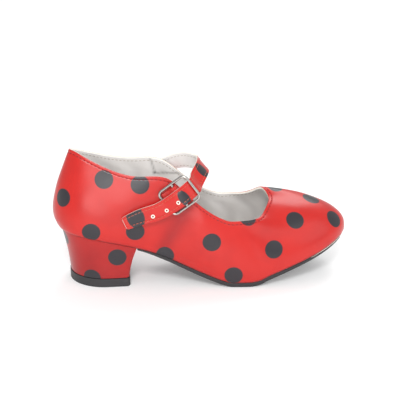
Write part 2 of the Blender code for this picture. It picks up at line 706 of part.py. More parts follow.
def make_tab(red):
    """The tab's outline seen along the bar, with the bar's hole, as thick as the tab is wide."""
    middle, along, across, outward = buckle_axes()
    hole = BUCKLE_WIRE / 2 + SEAM_GAP
    loop = hole + TAB_THICKNESS
    end = middle + along * TAB_TAIL
    on_quarter, _ = quarter_point(end.x, end.z, -1)
    sunk = (on_quarter - middle).dot(outward) + 3 * SEAM_GAP

    def under(reach):
        return -loop + (sunk + loop) * reach / TAB_TAIL

    round_bar = [radians(-90 - 22.5 * k) for k in range(9)]
    outline = [(loop * cos(angle), loop * sin(angle)) for angle in round_bar]
    outline += [
        (TAB_FOLD, under(TAB_FOLD) + 2 * TAB_THICKNESS),
        (TAB_FOLD, under(TAB_FOLD) + TAB_THICKNESS),
        (TAB_TAIL, under(TAB_TAIL) + TAB_THICKNESS),
        (TAB_TAIL, under(TAB_TAIL)),
    ]
    bar_hole = [(hole * cos(pi / 8 * k), hole * sin(pi / 8 * k)) for k in range(16)]
    data = bpy.data.curves.new("buckle_tab", "CURVE")
    data.dimensions = "2D"
    data.fill_mode = "BOTH"
    data.extrude = TAB_WIDTH / 2
    for points in (outline, bar_hole):
        spline = data.splines.new("POLY")
        spline.points.add(len(points) - 1)
        for held, point in zip(spline.points, points):
            held.co = (*point, 0, 1)
        spline.use_cyclic_u = True
    tab = bpy.data.objects.new("buckle_tab", data)
    bpy.data.collections["flamenco_shoe"].objects.link(tab)
    data.materials.append(red)
    turned = Matrix((along, outward, along.cross(outward))).transposed().to_4x4()
    tab.matrix_world = Matrix.Translation(middle + across * TAB_SHIFT) @ turned
    return tab


def main():
    for obj in list(bpy.data.objects):
        bpy.data.objects.remove(obj)
    shoe = bpy.data.collections.new("flamenco_shoe")
    cutters = bpy.data.collections.new("cutters")
    for collection in (shoe, cutters):
        bpy.context.scene.collection.children.link(collection)
    red = material("red_leather", (0.78, 0.03, 0.03), 0.3)
    black = material("black_rubber", (0.03, 0.03, 0.035), 0.55)
    lining = material("pale_lining", (0.62, 0.6, 0.57), 0.75)
    steel = material("bright_steel", (0.72, 0.71, 0.7), 0.22, 1.0)
    make_upper(red)
    make_insole(lining)
    make_outsole(black)
    make_heel(red)
    make_heel_cap(black)
    make_strap(red, cutters)
    make_buckle(steel, cutters)
    make_tab(red)


main()
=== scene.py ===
# Looks of the flamenco shoe: right foot, red leather with black dots, on a pale studio floor.
# Metres, +X from the heel to the toe, +Y to the inner side of the foot, +Z up.

from collections import namedtuple
from math import cos, pi, radians, sin

import bmesh
import bpy
import numpy as np
from mathutils import Matrix, Vector


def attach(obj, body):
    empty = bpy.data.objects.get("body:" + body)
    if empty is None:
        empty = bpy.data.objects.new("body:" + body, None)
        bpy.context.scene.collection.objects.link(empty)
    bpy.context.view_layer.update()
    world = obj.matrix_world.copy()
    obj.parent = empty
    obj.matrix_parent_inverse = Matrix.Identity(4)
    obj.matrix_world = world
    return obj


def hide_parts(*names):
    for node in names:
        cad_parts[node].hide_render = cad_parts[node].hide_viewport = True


mm = 0.001

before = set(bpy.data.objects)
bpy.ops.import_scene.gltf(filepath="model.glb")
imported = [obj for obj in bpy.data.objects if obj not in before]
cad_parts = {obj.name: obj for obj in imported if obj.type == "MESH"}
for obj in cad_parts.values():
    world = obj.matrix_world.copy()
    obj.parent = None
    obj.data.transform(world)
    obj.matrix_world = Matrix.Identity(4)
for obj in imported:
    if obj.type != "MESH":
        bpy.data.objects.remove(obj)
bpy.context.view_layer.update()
print("frame loaded")

# the shoe's last, the same as in its solids

last = {
    "length": 216 * mm,
    "halfWidth": 37 * mm,
    "backReach": 32 * mm,       # from the middle of the heel's tread back to the counter
    "backHeight": 59 * mm,
    "heelLift": 38 * mm,
    "toeSpring": 24 * mm,
    "flatStart": 0.590,         # the ball's flat spot, shares of the length
    "flatEnd": 0.650,
    "soleThickness": 3.4 * mm,
    "seamGap": 0.3 * mm,
    "breastReach": 27 * mm,
}

Rise = namedtuple("Rise", "run height")
shankCurve = (
    Rise(0.00, 0.000), Rise(0.06, 0.050), Rise(0.14, 0.150), Rise(0.25, 0.310), Rise(0.37, 0.500),
    Rise(0.48, 0.650), Rise(0.60, 0.770), Rise(0.72, 0.865), Rise(0.86, 0.960), Rise(0.95, 1.010),
    Rise(1.00, 1.040),
)
toeCurve = (
    Rise(0.00, 0.000), Rise(0.08, 0.035), Rise(0.20, 0.200), Rise(0.42, 0.435), Rise(0.64, 0.650),
    Rise(0.84, 0.860), Rise(1.00, 1.000),
)
soleTaper = (
    Rise(0.00, 0.45), Rise(0.12, 0.80), Rise(0.32, 1.00), Rise(0.62, 1.00), Rise(0.80, 0.85),
    Rise(1.00, 0.75),
)

Column = namedtuple(
    "Column", "name footX footY lowOut lowUp reach highOut highDrop topX topY topRise"
)
columns = (
    Column("counter",       0.018,  0.000, 0.25, 0.13, 0.00,  0.33, 0.500, 0.059,  0.000, 1.000),
    Column("outerCounter",  0.044, -0.430, 0.22, 0.13, 0.00,  0.30, 0.480, 0.077, -0.160, 1.010),
    Column("outerHeel",     0.153, -0.670, 0.13, 0.16, 0.00,  0.26, 0.420, 0.144, -0.350, 0.943),
    Column("outerQuarter",  0.268, -0.690, 0.11, 0.18, 0.00,  0.20, 0.380, 0.268, -0.540, 0.910),
    Column("outerEar",      0.374, -0.700, 0.10, 0.18, 0.00,  0.15, 0.350, 0.373, -0.590, 1.028),
    Column("outerWaist",    0.472, -0.790, 0.10, 0.16, 0.00,  0.15, 0.280, 0.450, -0.690, 0.930),
    Column("outerBall",     0.579, -0.920, 0.09, 0.16, 0.00,  0.14, 0.240, 0.549, -0.790, 0.808),
    Column("outerJoint",    0.704, -0.950, 0.09, 0.17, 0.25,  0.13, 0.170, 0.653, -0.700, 0.775),
    Column("outerVamp",     0.847, -0.780, 0.08, 0.20, 0.55,  0.02, 0.050, 0.702, -0.440, 0.738),
    Column("outerToe",      0.954, -0.420, 0.12, 0.24, 0.62,  0.00, 0.030, 0.727, -0.180, 0.775),
    Column("toe",           0.998,  0.110, 0.20, 0.25, 0.63,  0.00, 0.015, 0.733,  0.027, 0.805),
    Column("innerToe",      0.961,  0.560, 0.12, 0.23, 0.60,  0.00, 0.050, 0.722,  0.180, 0.878),
    Column("innerVamp",     0.863,  0.830, 0.09, 0.20, 0.50,  0.02, 0.100, 0.702,  0.320, 0.900),
    Column("innerJoint",    0.727,  0.915, 0.10, 0.21, 0.40,  0.12, 0.090, 0.658,  0.490, 0.850),
    Column("innerBall",     0.607,  0.825, 0.12, 0.19, 0.00,  0.16, 0.230, 0.588,  0.610, 0.816),
    Column("innerWaist",    0.495,  0.655, 0.12, 0.17, 0.00,  0.12, 0.260, 0.495,  0.630, 0.830),
    Column("innerEar",      0.402,  0.603, 0.12, 0.18, 0.00,  0.12, 0.340, 0.402,  0.590, 0.977),
    Column("innerArch",     0.343,  0.603, 0.12, 0.18, 0.00,  0.14, 0.360, 0.352,  0.570, 0.992),
    Column("innerQuarter",  0.268,  0.630, 0.12, 0.18, 0.00,  0.18, 0.380, 0.274,  0.520, 0.914),
    Column("innerHeel",     0.153,  0.650, 0.13, 0.16, 0.00,  0.26, 0.420, 0.158,  0.350, 0.916),
    Column("innerCounter",  0.044,  0.430, 0.22, 0.13, 0.00,  0.30, 0.480, 0.077,  0.150, 0.976),
)


def steadyCurve(rows, at):
    # smooth through the rows without overshooting
    runs = [row.run for row in rows]
    heights = [row.height for row in rows]
    steps = [b - a for a, b in zip(runs, runs[1:])]
    grades = [(b - a) / step for a, b, step in zip(heights, heights[1:], steps)]
    slopes = [0.0]
    slopes += [0.0 if a * b <= 0 else 2 * a * b / (a + b) for a, b in zip(grades, grades[1:])]
    slopes += [grades[-1]]
    at = min(max(at, runs[0]), runs[-1])
    i = max(k for k in range(len(steps)) if runs[k] <= at + 1e-12)
    t = (at - runs[i]) / steps[i]
    return (
        heights[i] * (1 + 2 * t) * (1 - t) ** 2
        + heights[i + 1] * t * t * (3 - 2 * t)
        + slopes[i] * steps[i] * t * (1 - t) ** 2
        - slopes[i + 1] * steps[i] * t * t * (1 - t)
    )


def closedSpline(knots, period, values, at):
    step = np.diff(np.append(knots, knots[0] + period))
    rise = (np.roll(values, -1, 0) - values) / step[:, None]
    count = len(knots)
    system = np.zeros((count, count))
    for i in range(count):
        system[i, i - 1] += step[i - 1]
        system[i, i] += 2 * (step[i - 1] + step[i])
        system[i, (i + 1) % count] += step[i]
    bend = np.linalg.solve(system, 6 * (rise - np.roll(rise, 1, 0)))
    at = np.mod(np.asarray(at, float), period)
    i = np.searchsorted(knots, at, side="right") - 1
    j = (i + 1) % count
    h = step[i][:, None]
    a = (knots[i] + step[i] - at)[:, None] / h
    b = 1 - a
    return a * values[i] + b * values[j] + ((a**3 - a) * bend[i] + (b**3 - b) * bend[j]) * h * h / 6


def bottomHeight(x):
    # the feather line, where the upper meets the sole
    share = (x + last["backReach"]) / last["length"]
    base = last["soleThickness"] + last["seamGap"]
    if share < last["flatStart"]:
        run = (last["flatStart"] - share) / last["flatStart"]
        return base + last["heelLift"] * steadyCurve(shankCurve, run)
    if share > last["flatEnd"]:
        run = (share - last["flatEnd"]) / (1 - last["flatEnd"])
        return base + last["toeSpring"] * steadyCurve(toeCurve, run)
    return base


def place(shareX, shareY):
    return Vector((shareX * last["length"] - last["backReach"], shareY * last["halfWidth"]))


feet = [place(c.footX, c.footY) for c in columns]
footGaps = [(b - a).length for a, b in zip(feet, feet[1:] + feet[:1])]
knots = np.concatenate([[0.0], np.cumsum(footGaps[:-1])])
period = sum(footGaps)
shapes = np.array([list(c[1:]) for c in columns])


def columnsAt(turns):
    return closedSpline(knots, period, shapes, np.asarray(turns) * period)


def featherLine(turns, inset=0.0):
    ahead, behind = (columnsAt(np.asarray(turns) + d)[:, :2] for d in (1e-4, -1e-4))
    scale = np.array([last["length"], last["halfWidth"]])
    points = columnsAt(turns)[:, :2] * scale - [last["backReach"], 0]
    along = (ahead - behind) * scale
    along /= np.linalg.norm(along, axis=1)[:, None]
    outward = np.stack([along[:, 1], -along[:, 0]], axis=1)
    return points - outward * inset, outward


def upperSurface(turns, levels):
    # levels: one list for all the turns, or a list for each
    rows = columnsAt(turns)
    foot, outward = featherLine(turns)
    levels = np.broadcast_to(levels, (len(rows), np.shape(levels)[-1]))
    grid = np.zeros((*levels.shape, 3))
    for k, row in enumerate(rows):
        _, _, lowOut, lowUp, reach, highOut, highDrop, topX, topY, topRise = row
        start = Vector((*foot[k], bottomHeight(foot[k][0])))
        flatTop = place(topX, topY)
        end = Vector((*flatTop, bottomHeight(flatTop.x) + topRise * last["backHeight"]))
        out = Vector((*outward[k], 0)) * last["halfWidth"]
        low = start + out * lowOut + Vector((0, 0, lowUp * last["backHeight"]))
        high = end + out * highOut - Vector((0, 0, highDrop * last["backHeight"]))
        high.xy += (start.xy - end.xy) * reach
        p = [np.array(v) for v in (start, low, high, end)]
        t = levels[k][:, None]
        grid[k] = (
            (1 - t) ** 3 * p[0] + 3 * t * (1 - t) ** 2 * p[1] + 3 * t * t * (1 - t) * p[2] + t**3 * p[3]
        )
    return grid


def gridNormals(grid):
    around = np.roll(grid, -1, 0) - np.roll(grid, 1, 0)
    normals = np.cross(around, np.gradient(grid, axis=1))
    return normals / np.linalg.norm(normals, axis=2)[:, :, None]


def turnAt(x, side):
    turns = np.linspace(0, 1, 801)
    along = featherLine(turns)[0][:, 0]
    tip = int(np.argmax(along))
    if side < 0:
        return float(np.interp(x, along[: tip + 1], turns[: tip + 1]))
    return float(np.interp(x, along[:tip:-1], turns[:tip:-1]))


def tipTurn():
    turns = np.linspace(0.4, 0.6, 401)
    return float(turns[np.argmax(featherLine(turns)[0][:, 0])])


def quarterPoint(x, z, side):
    # the upper's outside at (x, z), and its outward normal
    turn, level, nudge = turnAt(x, side), 0.6, 1e-3
    for _ in range(12):
        here = upperSurface([turn, turn + nudge], [level, level + nudge])
        byTurn = (here[1, 0] - here[0, 0]) / nudge
        byLevel = (here[0, 1] - here[0, 0]) / nudge
        system = np.array([[byTurn[0], byLevel[0]], [byTurn[2], byLevel[2]]])
        step = np.linalg.solve(system, [x - here[0, 0, 0], z - here[0, 0, 2]])
        turn += step[0]
        level += step[1]
    return Vector(here[0, 0]), Vector(np.cross(byTurn, byLevel)).normalized()


# mesh helpers

def meshFrom(name, points, faces, slots=None, sharp=40):
    mesh = bpy.data.meshes.new(name)
    mesh.from_pydata([tuple(p) for p in points], [], [tuple(f) for f in faces])
    if slots is not None:
        mesh.polygons.foreach_set("material_index", slots)
    work = bmesh.new()
    work.from_mesh(mesh)
    bmesh.ops.recalc_face_normals(work, faces=work.faces)
    work.to_mesh(mesh)
    work.free()
    mesh.shade_smooth()
    mesh.set_sharp_from_angle(angle=radians(sharp))
    return mesh


def addPiece(name, mesh, materials, replaces=()):
    piece = bpy.data.objects.new(name, mesh)
    bpy.context.scene.collection.objects.link(piece)
    for made in materials:
        mesh.materials.append(made)
    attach(piece, "root")
    if replaces:
        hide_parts(*replaces)
    return piece


def loft(rows, wrapRows=False):
    # rows of points that close on themselves; the ends are capped or joined
    count, size = len(rows), len(rows[0])
    points = np.concatenate(rows)
    faces = []
    owner = []
    for r in range(count if wrapRows else count - 1):
        here, after = r * size, (r + 1) % count * size
        for c in range(size):
            d = (c + 1) % size
            faces.append((here + c, here + d, after + d, after + c))
            owner.append((r, c))
    if not wrapRows:
        faces.append(tuple(range(size)))
        faces.append(tuple((count - 1) * size + c for c in range(size)))
        owner += [(-1, -1), (-2, -1)]
    return points, faces, owner


def ladder(sections):
    # sections of two sides, joined across
    count = len(sections[0][0])
    points = [p for outer, inner in sections for p in (*outer, *inner[::-1])]
    size = 2 * count
    faces = []
    for base in (0, (len(sections) - 1) * size):
        for i in range(count - 1):
            faces.append((base + i, base + i + 1, base + size - 2 - i, base + size - 1 - i))
    ends = []
    for level in range(len(sections) - 1):
        for i in range(size):
            low = level * size
            j = (i + 1) % size
            if i == count - 1:
                ends.append(len(faces))
            faces.append((low + i, low + j, low + size + j, low + size + i))
    return points, faces, ends


def smoothEdges(piece, width, segments=3, angle=40):
    bevel = piece.modifiers.new("rounded edges", "BEVEL")
    bevel.width = width
    bevel.segments = segments
    bevel.limit_method = "ANGLE"
    bevel.angle_limit = radians(angle)
    return piece


def tubeAlong(points, radius, sides=8, closed=False, flat=1.0, flatWay=None):
    # a round or flattened wire along points
    points = np.asarray(points, float)
    if closed:
        tangents = np.roll(points, -1, 0) - np.roll(points, 1, 0)
    else:
        tangents = np.gradient(points, axis=0)
    tangents /= np.linalg.norm(tangents, axis=1)[:, None]
    radii = np.broadcast_to(radius, len(points))
    way = np.array(flatWay if flatWay is not None else (0.0, 0.0, 1.0), float)
    rows = []
    for point, tangent, r in zip(points, tangents, radii):
        up = way - tangent * way.dot(tangent)
        up /= np.linalg.norm(up)
        side = np.cross(tangent, up)
        angles = [2 * pi * k / sides for k in range(sides)]
        rows.append(np.array([point + side * r * cos(a) + up * r * flat * sin(a) for a in angles]))
    points, faces, _ = loft(rows, closed)
    return points, faces


def joined(parts):
    points, faces = [], []
    for partPoints, partFaces in parts:
        base = len(points)
        points += list(partPoints)
        faces += [tuple(base + v for v in face) for face in partFaces]
    return points, faces


def stitchRow(path, normals, look, closed=False):
    # short arched threads, sunk at both ends, at even steps of the path
    path = np.asarray(path, float)
    normals = np.asarray(normals, float)
    if closed:
        path = np.vstack([path, path[:1]])
        normals = np.vstack([normals, normals[:1]])
    walked = np.concatenate([[0], np.cumsum(np.linalg.norm(np.diff(path, axis=0), axis=1))])
    count = max(1, round(walked[-1] / look["pitch"]))
    pitch = walked[-1] / count
    # along the thread: share of its length, of its width, and its lift in half widths
    rings = ((-0.50, 0.35, -0.9), (-0.40, 0.85, -0.1), (-0.15, 1.0, 0.35), (0.15, 1.0, 0.35),
             (0.40, 0.85, -0.1), (0.50, 0.35, -0.9))
    parts = []
    for k in range(count):
        rows = []
        for share, thick, lift in rings:
            at = (k + 0.5) * pitch + share * look["length"]
            point = np.array([np.interp(at, walked, path[:, a]) for a in range(3)])
            up = np.array([np.interp(at, walked, normals[:, a]) for a in range(3)])
            ahead = np.array([np.interp(at + mm * 0.2, walked, path[:, a]) for a in range(3)])
            behind = np.array([np.interp(at - mm * 0.2, walked, path[:, a]) for a in range(3)])
            tangent = (ahead - behind) / np.linalg.norm(ahead - behind)
            up -= tangent * up.dot(tangent)
            up /= np.linalg.norm(up)
            side = np.cross(tangent, up)
            r = look["width"] / 2
            centre = point + up * r * lift
            angles = [pi / 3 * n for n in range(6)]
            rows.append(np.array([centre + (side * cos(a) + up * sin(a)) * r * thick for a in angles]))
        points, faces, _ = loft(rows)
        parts.append((points, faces))
    return joined(parts)


def addValues(mesh, name, values):
    held = mesh.attributes.new(name, "FLOAT", "POINT")
    held.data.foreach_set("value", np.asarray(values, np.float32))


def coordinates(mesh):
    points = np.empty(len(mesh.vertices) * 3)
    mesh.vertices.foreach_get("co", points)
    return points.reshape(-1, 3)


def printDots(mesh, centres, radius, cutDots=()):
    # how far each point lies outside the nearest dot's edge, in millimetres;
    # a cut dot's centre lies off the piece and stays where it is given
    points = coordinates(mesh)
    nearest = np.full(len(points), 20.0)
    middles = []
    for centre in centres:
        reach = np.linalg.norm(points - np.array(centre) * mm, axis=1)
        middles.append(points[np.argmin(reach)])
    middles += [np.array(centre) * mm for centre in cutDots]
    for middle in middles:
        reach = np.linalg.norm(points - middle, axis=1)
        nearest = np.minimum(nearest, (reach - radius) / mm)
    addValues(mesh, "dotEdge", nearest)


# finishes

def nodeGroup(name, inputs, outputs):
    group = bpy.data.node_groups.new(name, "ShaderNodeTree")
    for socket, kind, value in inputs:
        made = group.interface.new_socket(name=socket, in_out="INPUT", socket_type=kind)
        if value is not None:
            made.default_value = value
    for socket, kind in outputs:
        group.interface.new_socket(name=socket, in_out="OUTPUT", socket_type=kind)
    return group, group.nodes.new("NodeGroupInput"), group.nodes.new("NodeGroupOutput")


def addNode(tree, kind, **settings):
    node = tree.nodes.new(kind)
    for key, value in settings.items():
        setattr(node, key, value)
    return node


def mathNode(tree, operation, first, second=None, third=None, clamp=False):
    node = addNode(tree, "ShaderNodeMath", operation=operation, use_clamp=clamp)
    for socket, value in zip(node.inputs, (first, second, third)):
        if value is None:
            continue
        if isinstance(value, (int, float)):
            socket.default_value = value
        else:
            tree.links.new(value, socket)
    return node.outputs[0]


def mixNode(tree, factor, first, second):
    node = addNode(tree, "ShaderNodeMix", data_type="RGBA")
    for name, value in (("Factor", factor), ("A", first), ("B", second)):
        socket = [s for s in node.inputs if s.name == name and s.enabled][0]
        if isinstance(value, (int, float)):
            socket.default_value = value
        elif isinstance(value, tuple):
            socket.default_value = (*value, 1)
        else:
            tree.links.new(value, socket)
    return [s for s in node.outputs if s.enabled][0]


def polkaDotGroup():
    group, given, out = nodeGroup(
        "polkaDots",
        [("Distance", "NodeSocketFloat", 5.0), ("Softness", "NodeSocketFloat", 0.25),
         ("Wobble", "NodeSocketFloat", 0.15)],
        [("Mask", "NodeSocketFloat")],
    )
    own = addNode(group, "ShaderNodeTexCoord")
    noise = addNode(group, "ShaderNodeTexNoise")
    noise.inputs["Scale"].default_value = 900
    noise.inputs["Detail"].default_value = 2
    group.links.new(own.outputs["Object"], noise.inputs["Vector"])
    shift = mathNode(group, "SUBTRACT", noise.outputs["Fac"], 0.5)
    shift = mathNode(group, "MULTIPLY", shift, given.outputs["Wobble"])
    edge = mathNode(group, "ADD", given.outputs["Distance"], shift)
    edge = mathNode(group, "DIVIDE", edge, given.outputs["Softness"])
    edge = mathNode(group, "MULTIPLY_ADD", edge, -0.5, 0.5, clamp=True)
    group.links.new(edge, out.inputs["Mask"])
    return group


def grainGroup():
    # the embossed grain of coated leather: pebbles with fine creases between
    group, given, out = nodeGroup(
        "leatherGrain",
        [("Pebble", "NodeSocketFloat", 1500.0), ("Fineness", "NodeSocketFloat", 6000.0),
         ("Slow", "NodeSocketFloat", 45.0)],
        [("Height", "NodeSocketFloat"), ("Tone", "NodeSocketFloat"), ("Gloss", "NodeSocketFloat")],
    )
    own = addNode(group, "ShaderNodeTexCoord").outputs["Object"]
    pebble = addNode(group, "ShaderNodeTexVoronoi", feature="SMOOTH_F1")
    pebble.inputs["Smoothness"].default_value = 0.6
    fine = addNode(group, "ShaderNodeTexNoise")
    slow = addNode(group, "ShaderNodeTexNoise")
    slow.inputs["Detail"].default_value = 3
    for node, scale in ((pebble, "Pebble"), (fine, "Fineness"), (slow, "Slow")):
        group.links.new(own, node.inputs["Vector"])
        group.links.new(given.outputs[scale], node.inputs["Scale"])
    height = mathNode(group, "MULTIPLY_ADD", fine.outputs["Fac"], 0.35, pebble.outputs["Distance"])
    group.links.new(height, out.inputs["Height"])
    tone = mathNode(group, "SUBTRACT", slow.outputs["Fac"], 0.5)
    group.links.new(tone, out.inputs["Tone"])
    gloss = mathNode(group, "MULTIPLY_ADD", fine.outputs["Fac"], 0.5, tone)
    group.links.new(gloss, out.inputs["Gloss"])
    return group


def scuffGroup():
    # long thin scratches and rubbed patches
    group, given, out = nodeGroup(
        "scuffs",
        [("Scale", "NodeSocketFloat", 120.0), ("Amount", "NodeSocketFloat", 0.5)],
        [("Mask", "NodeSocketFloat"), ("Height", "NodeSocketFloat")],
    )
    own = addNode(group, "ShaderNodeTexCoord").outputs["Object"]
    stretch = addNode(group, "ShaderNodeMapping")
    stretch.inputs["Scale"].default_value = (0.35, 3.0, 1.5)
    stretch.inputs["Rotation"].default_value = (0, 0, 0.3)
    group.links.new(own, stretch.inputs["Vector"])
    scratch = addNode(group, "ShaderNodeTexNoise")
    scratch.inputs["Detail"].default_value = 4
    patch = addNode(group, "ShaderNodeTexNoise")
    patch.inputs["Scale"].default_value = 60
    group.links.new(stretch.outputs["Vector"], scratch.inputs["Vector"])
    group.links.new(given.outputs["Scale"], scratch.inputs["Scale"])
    group.links.new(own, patch.inputs["Vector"])
    lines = mathNode(group, "MULTIPLY_ADD", scratch.outputs["Fac"], 6.0, -3.4, clamp=True)
    rubbed = mathNode(group, "MULTIPLY_ADD", patch.outputs["Fac"], 4.0, -1.9, clamp=True)
    mask = mathNode(group, "MULTIPLY", lines, rubbed)
    mask = mathNode(group, "MULTIPLY", mask, given.outputs["Amount"])
    group.links.new(mask, out.inputs["Mask"])
    group.links.new(scratch.outputs["Fac"], out.inputs["Height"])
    return group


def clothGroup():
    # a fine plain weave under a brushed coating
    group, given, out = nodeGroup(
        "liningWeave",
        [("Threads", "NodeSocketFloat", 2200.0)],
        [("Height", "NodeSocketFloat"), ("Tone", "NodeSocketFloat")],
    )
    own = addNode(group, "ShaderNodeTexCoord").outputs["Object"]
    heights = []
    for direction in ("X", "Z"):
        wave = addNode(group, "ShaderNodeTexWave", wave_type="BANDS", bands_direction=direction)
        wave.inputs["Distortion"].default_value = 1.2
        wave.inputs["Detail"].default_value = 1
        group.links.new(own, wave.inputs["Vector"])
        scale = mathNode(group, "MULTIPLY", given.outputs["Threads"], 0.32)
        group.links.new(scale, wave.inputs["Scale"])
        heights.append(wave.outputs["Fac"])
    height = mathNode(group, "ADD", *heights)
    slow = addNode(group, "ShaderNodeTexNoise")
    slow.inputs["Scale"].default_value = 70
    slow.inputs["Detail"].default_value = 4
    group.links.new(own, slow.inputs["Vector"])
    group.links.new(height, out.inputs["Height"])
    group.links.new(slow.outputs["Fac"], out.inputs["Tone"])
    return group


polkaDots, leatherGrain, scuffs, liningWeave = polkaDotGroup(), grainGroup(), scuffGroup(), clothGroup()


def newMaterial(name, **sockets):
    made = bpy.data.materials.new(name)
    made.use_nodes = True
    shader = made.node_tree.nodes["Principled BSDF"]
    for key, value in sockets.items():
        socket = shader.inputs[key.replace("_", " ")]
        socket.default_value = (*value, 1) if isinstance(value, tuple) else value
    return made, made.node_tree, shader


def useGroup(tree, group, **values):
    node = addNode(tree, "ShaderNodeGroup", node_tree=group)
    for key, value in values.items():
        node.inputs[key].default_value = value
    return node


def bumpInto(tree, shader, height, distance, strength=1.0):
    bump = addNode(tree, "ShaderNodeBump")
    bump.inputs["Distance"].default_value = distance
    bump.inputs["Strength"].default_value = strength
    tree.links.new(height, bump.inputs["Height"])
    tree.links.new(bump.outputs["Normal"], shader.inputs["Normal"])


leather = {
    "red": (0.52, 0.013, 0.009),
    "deepRed": (0.28, 0.005, 0.007),
    "black": (0.024, 0.022, 0.027),
    "roughness": 0.33,
    "grainDepth": 0.05 * mm,
    "coat": 0.22,
}


def leatherMaterial(name, dotted):
    made, tree, shader = newMaterial(name, Roughness=leather["roughness"], Coat_Weight=leather["coat"],
                                     Coat_Roughness=0.24, Specular_IOR_Level=0.35)
    grain = useGroup(tree, leatherGrain)
    # the point attribute darkens the red towards deep red on top of the grain's random tone: painted shade in
    # the creases, along the upper's lower edge and over the heel
    paintedShadeAndMarksNode = addNode(tree, "ShaderNodeAttribute", attribute_name="paintedShadeAndMarks")
    tone = mathNode(tree, "MULTIPLY_ADD", grain.outputs["Tone"], -0.9, 0.06)
    tone = mathNode(tree, "ADD", tone, paintedShadeAndMarksNode.outputs["Fac"], clamp=True)
    colour = mixNode(tree, tone, leather["red"], leather["deepRed"])
    if dotted:
        edge = addNode(tree, "ShaderNodeAttribute", attribute_name="dotEdge")
        dots = useGroup(tree, polkaDots)
        tree.links.new(edge.outputs["Fac"], dots.inputs["Distance"])
        colour = mixNode(tree, dots.outputs["Mask"], colour, leather["black"])
    tree.links.new(colour, shader.inputs["Base Color"])
    rough = mathNode(tree, "MULTIPLY_ADD", grain.outputs["Gloss"], 0.16, leather["roughness"] - 0.04)
    tree.links.new(rough, shader.inputs["Roughness"])
    bumpInto(tree, shader, grain.outputs["Height"], leather["grainDepth"], 0.5)
    return made


def clothMaterial(name, pale, dark, rough=0.75):
    made, tree, shader = newMaterial(name, Roughness=rough, Sheen_Weight=0.15)
    weave = useGroup(tree, liningWeave)
    # the point attribute darkens the lining: painted shade along the patch's edge and in the folds' hollows,
    # and the knot's small dark mark
    paintedShadeAndMarksNode = addNode(tree, "ShaderNodeAttribute", attribute_name="paintedShadeAndMarks")
    colour = mixNode(tree, weave.outputs["Tone"], pale, dark)
    colour = mixNode(tree, paintedShadeAndMarksNode.outputs["Fac"], colour, tuple(part * 0.35 for part in dark))
    tree.links.new(colour, shader.inputs["Base Color"])
    bumpInto(tree, shader, weave.outputs["Height"], 0.06 * mm, 0.5)
    return made


def rubberMaterial(name, colour, rubbed, rough, amount=0.6):
    made, tree, shader = newMaterial(name, Roughness=rough)
    marks = useGroup(tree, scuffs, Scale=160.0, Amount=amount)
    grain = useGroup(tree, leatherGrain, Pebble=1100.0, Fineness=3500.0)
    tree.links.new(mixNode(tree, marks.outputs["Mask"], colour, rubbed), shader.inputs["Base Color"])
    roughness = mathNode(tree, "MULTIPLY_ADD", grain.outputs["Gloss"], 0.25, rough - 0.08)
    tree.links.new(roughness, shader.inputs["Roughness"])
    bumpInto(tree, shader, grain.outputs["Height"], 0.07 * mm, 0.6)
    return made


def steelMaterial(name):
    made, tree, shader = newMaterial(name, Metallic=1.0, Roughness=0.2)
    marks = useGroup(tree, scuffs, Scale=700.0, Amount=0.9)
    colour = mixNode(tree, marks.outputs["Mask"], (0.42, 0.40, 0.38), (0.20, 0.185, 0.17))
    tree.links.new(colour, shader.inputs["Base Color"])
    roughness = mathNode(tree, "MULTIPLY_ADD", marks.outputs["Height"], 0.22, 0.10)
    tree.links.new(roughness, shader.inputs["Roughness"])
    bumpInto(tree, shader, marks.outputs["Height"], 0.02 * mm, 0.4)
    return made


def threadMaterial(name, colour, shade):
    made, tree, shader = newMaterial(name, Roughness=0.55)
    own = addNode(tree, "ShaderNodeTexCoord").outputs["Object"]
    twist = addNode(tree, "ShaderNodeTexWave", wave_type="BANDS", bands_direction="DIAGONAL")
    twist.inputs["Scale"].default_value = 900
    tree.links.new(own, twist.inputs["Vector"])
    # the twist's bands mix in the darker tone: painted shade between the plies
    tree.links.new(mixNode(tree, twist.outputs["Fac"], shade, colour), shader.inputs["Base Color"])
    bumpInto(tree, shader, twist.outputs["Fac"], 0.08 * mm, 0.7)
    return made


dottedLeather = leatherMaterial("dottedLeather", True)
plainLeather = leatherMaterial("plainLeather", False)
greyLining = clothMaterial("greyLining", (0.87, 0.85, 0.83), (0.74, 0.71, 0.69))
sockCloth = clothMaterial("sockCloth", (0.78, 0.75, 0.72), (0.62, 0.59, 0.56))
rawEdge = clothMaterial("rawEdge", (0.90, 0.85, 0.76), (0.74, 0.67, 0.57), 0.85)
blackSole = rubberMaterial("blackSole", (0.022, 0.021, 0.023), (0.13, 0.12, 0.115), 0.5)
blackTread = rubberMaterial("blackTread", (0.026, 0.026, 0.028), (0.12, 0.115, 0.11), 0.52, 0.8)
buckleSteel = steelMaterial("buckleSteel")
redThread = threadMaterial("redThread", (0.26, 0.006, 0.012), (0.12, 0.003, 0.007))
# the strap's thread is the same red as the topline's, drawn lighter and warmer: a painted glint along the
# strap's stitch rows
paintedGlintThread = threadMaterial("paintedGlintThread", (0.66, 0.14, 0.07), (0.36, 0.04, 0.02))
paleThread = threadMaterial("paleThread", (0.60, 0.54, 0.48), (0.40, 0.36, 0.32))
print("finishes made")

# upper

